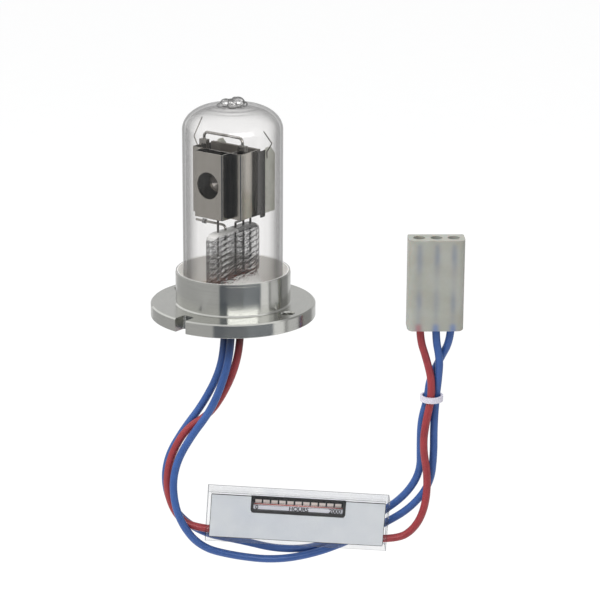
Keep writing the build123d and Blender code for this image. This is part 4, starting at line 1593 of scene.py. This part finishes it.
@dataclass
class HourMeter:
    """Clear case with its grey face, dial, marks and indicator."""

    ticks: int = 11
    tick_width: float = 1.95 * MM
    tick_height: float = 1.35 * MM
    thick: float = 0.06 * MM
    band_height: float = 1.70 * MM
    border: float = 0.8 * MM
    text_size: float = 1.85 * MM
    text_foot: float = 2.50 * MM
    text_weight: float = 0.045 * MM
    text_raise: float = 0.02 * MM
    text_lift: float = 0.05 * MM
    band_lift: float = 0.01 * MM
    tick_margin: float = 0.25 * MM
    zero_inset: float = 1.9 * MM
    word_shift: float = 0.2 * MM
    full_inset: float = 3.2 * MM
    column_drop: float = 0.60 * MM
    column_sides: int = 24
    # Width of the painted seam shadow round the face.
    seam: float = 0.16 * MM
    looks: Looks = (
        (Finish.CASE, ("meter_cover", "meter_back")),
        (Finish.LABEL, ("meter_face",)),
        (Finish.FRAME, ("dial_frame",)),
        (Finish.SCALE, ("dial_scale",)),
        (Finish.BRASS, ("meter_tab_left", "meter_tab_right")),
        (Finish.RESISTOR, ("meter_resistor",)),
    )
    window: tuple[Vector, Vector] = field(init=False)
    plate: tuple[Vector, Vector] = field(init=False)
    level: float = field(init=False)

    def __post_init__(self) -> None:
        """Measure the dial, its scale and the face in the meter's own place."""
        self.window = local_box("dial_frame", meter_place())
        self.plate = local_box("meter_face", meter_place())
        self.level = local_box("dial_scale", meter_place())[1].z

    def repeated(self, name: str, count: int, pitch: float, size: Vector, finish: Finish) -> bpy.types.Object:
        """Repeat one block along X with geometry nodes.

        Args:
            name: Name of the piece.
            count: How many blocks.
            pitch: Distance between their middles.
            size: Size of one block.
            finish: Finish of the blocks.

        Returns:
            The row as a plain mesh, starting at the origin.
        """
        tree = bpy.data.node_groups.new(name, "GeometryNodeTree")
        tree.interface.new_socket("Geometry", in_out="OUTPUT", socket_type="NodeSocketGeometry")
        values = {"Count": ("NodeSocketInt", count), "Pitch": ("NodeSocketFloat", pitch),
                  "Width": ("NodeSocketFloat", size.x), "Height": ("NodeSocketFloat", size.y),
                  "Thick": ("NodeSocketFloat", size.z)}
        sockets = {key: tree.interface.new_socket(key, in_out="INPUT", socket_type=kind)
                   for key, (kind, _) in values.items()}
        nodes = tree.nodes
        entry = nodes.new("NodeGroupInput")
        block_size = nodes.new("ShaderNodeCombineXYZ")
        for number, key in enumerate(("Width", "Height", "Thick")):
            tree.links.new(entry.outputs[key], block_size.inputs[number])
        block = nodes.new("GeometryNodeMeshCube")
        tree.links.new(block_size.outputs[0], block.inputs["Size"])
        step = nodes.new("ShaderNodeCombineXYZ")
        tree.links.new(entry.outputs["Pitch"], step.inputs[0])
        line = nodes.new("GeometryNodeMeshLine")
        tree.links.new(entry.outputs["Count"], line.inputs["Count"])
        tree.links.new(step.outputs[0], line.inputs["Offset"])
        copies = nodes.new("GeometryNodeInstanceOnPoints")
        tree.links.new(line.outputs[0], copies.inputs["Points"])
        tree.links.new(block.outputs["Mesh"], copies.inputs["Instance"])
        real = nodes.new("GeometryNodeRealizeInstances")
        tree.links.new(copies.outputs[0], real.inputs[0])
        paint = nodes.new("GeometryNodeSetMaterial")
        paint.inputs["Material"].default_value = finish.material
        tree.links.new(real.outputs[0], paint.inputs[0])
        leave = nodes.new("NodeGroupOutput")
        tree.links.new(paint.outputs[0], leave.inputs[0])
        seed = in_scene(name + "_seed", bpy.data.meshes.new(name + "_seed"))
        modifier = seed.modifiers.new("repeat", "NODES")
        modifier.node_group = tree
        for key, (_, value) in values.items():
            modifier[sockets[key].identifier] = value
        return plain_mesh(seed, name)

    def tick_row(self) -> list[bpy.types.Object]:
        """Make the dark band under the top border and the pale blocks that leave its ticks between them.

        Returns:
            The band and the blocks.
        """
        low, high = self.window
        left = low.x + self.border
        right = high.x - self.border
        top = high.y - self.border
        band_z = self.level + self.band_lift + self.thick / 2
        band = self.repeated("dial_band", 1, 0.0, Vector((right - left, self.band_height, self.thick)), Finish.FRAME)
        middle = ((left + right) / 2, top - self.band_height / 2, band_z)
        band.data.transform(meter_place() @ Matrix.Translation(middle))
        pitch = (right - left - 2 * self.tick_margin) / self.ticks
        block = Vector((self.tick_width, self.tick_height, self.thick))
        ticks = self.repeated("dial_ticks", self.ticks, pitch, block, Finish.MARK)
        across = left + self.tick_margin + pitch / 2
        start = (across, top - self.band_height + self.tick_height / 2, band_z + self.thick)
        ticks.data.transform(meter_place() @ Matrix.Translation(start))
        return [band, ticks]

    def lettering(self, name: str, words: str, along: float) -> bpy.types.Object:
        """Write plain figures or a plain word on the scale.

        Args:
            name: Name of the piece.
            words: What it says.
            along: Place of its middle along the meter.

        Returns:
            The mesh object.
        """
        data = bpy.data.curves.new(name, "FONT")
        data.body = words
        data.size = self.text_size
        data.align_x = "CENTER"
        data.offset = self.text_weight
        data.extrude = self.text_raise
        seed = in_scene(name + "_seed", data)
        bpy.context.view_layer.update()
        made = plain_mesh(seed, name)
        made.data.materials.clear()
        made.data.materials.append(Finish.INK.material)
        spot = (along, self.text_foot, self.level + self.text_lift)
        made.data.transform(meter_place() @ Matrix.Translation(spot))
        return made

    def rod(self, name: str, node: str, finish: Finish) -> None:
        """Make the indicator's tube or column a little lower than its solid, and let it stand for it.

        Args:
            name: Name of the piece.
            node: Node it stands for.
            finish: Its finish.
        """
        low, high = local_box(node, meter_place())
        radius = (high.y - low.y) / 2
        outline = [(0.0, low.x), (radius, low.x), (radius, high.x), (0.0, high.x)]
        points, faces = lathe(outline, self.column_sides)
        middle = ((low.y + high.y) / 2 - self.column_drop, (low.z + high.z) / 2)
        place = meter_place() @ Matrix.Translation((0, *middle)) @ Matrix.Rotation(math.radians(90), 4, "Y")
        settle(new_piece(name, points, faces, [finish], place), node)

    def painted_seam_shadow(self) -> bpy.types.Object:
        """Make the painted shadow of the seam round the face, as dark bars.

        Returns:
            The four bars as one piece.
        """
        low, high = self.plate
        bars = ((low.x, high.x, high.y, high.y + self.seam), (low.x, high.x, low.y - self.seam, low.y),
                (low.x - self.seam, low.x, low.y, high.y), (high.x, high.x + self.seam, low.y, high.y))
        points: list[tuple[float, float, float]] = []
        faces: list[tuple[int, ...]] = []
        for x0, x1, y0, y1 in bars:
            start = len(points)
            for z in (low.z, high.z):
                points += [(x0, y0, z), (x1, y0, z), (x1, y1, z), (x0, y1, z)]
            box = ((0, 3, 2, 1), (4, 5, 6, 7), (0, 1, 5, 4), (1, 2, 6, 5), (2, 3, 7, 6), (3, 0, 4, 7))
            faces += [tuple(start + corner for corner in face) for face in box]
        return new_piece("face_seam_shadow", points, faces, [Finish.FRAME], meter_place(), smooth=False)

    def build(self) -> None:
        """Dress the meter and add its marks."""
        dress(self.looks)
        self.rod("indicator_glass", "indicator_tube", Finish.CAPILLARY)
        self.rod("indicator_thread", "indicator_column", Finish.COLUMN)
        low, high = self.window
        band, ticks = self.tick_row()
        pieces = [
            (band, "black_frame"),
            (ticks, "white_scale"),
            # The dark seam round the face is a painted shadow.
            (self.painted_seam_shadow(), "black_frame"),
            (self.lettering("dial_zero", "0", low.x + self.zero_inset), "black_frame"),
            (self.lettering("dial_word", "HOURS", (low.x + high.x) / 2 + self.word_shift), "black_frame"),
            (self.lettering("dial_full", "2000", high.x - self.full_inset), "black_frame"),
        ]
        for piece, slot in pieces:
            settle(piece)


@dataclass
class Plug:
    """Nylon plug with its contacts, and the tie below it."""

    looks: Looks = (
        (Finish.NYLON, ("plug_housing",)),
        (Finish.TINNED, ("plug_contact_1", "plug_contact_2", "plug_contact_3")),
        (Finish.TIE, ("cable_tie",)),
    )

    def build(self) -> None:
        """Dress the plug and the tie."""
        dress(self.looks)


def main() -> None:
    """Build the camera, the leads and every sub-assembly."""
    logging.basicConfig(level=logging.INFO, format="%(name)s: %(message)s")
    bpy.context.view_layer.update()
    PhotoCamera().place()
    Harness().build()
    for part in (Base(), Bulb(), PressStem(), Electrodes(), HourMeter(), Plug()):
        part.build()
    Studio().build()


if __name__ == "__main__":
    main()
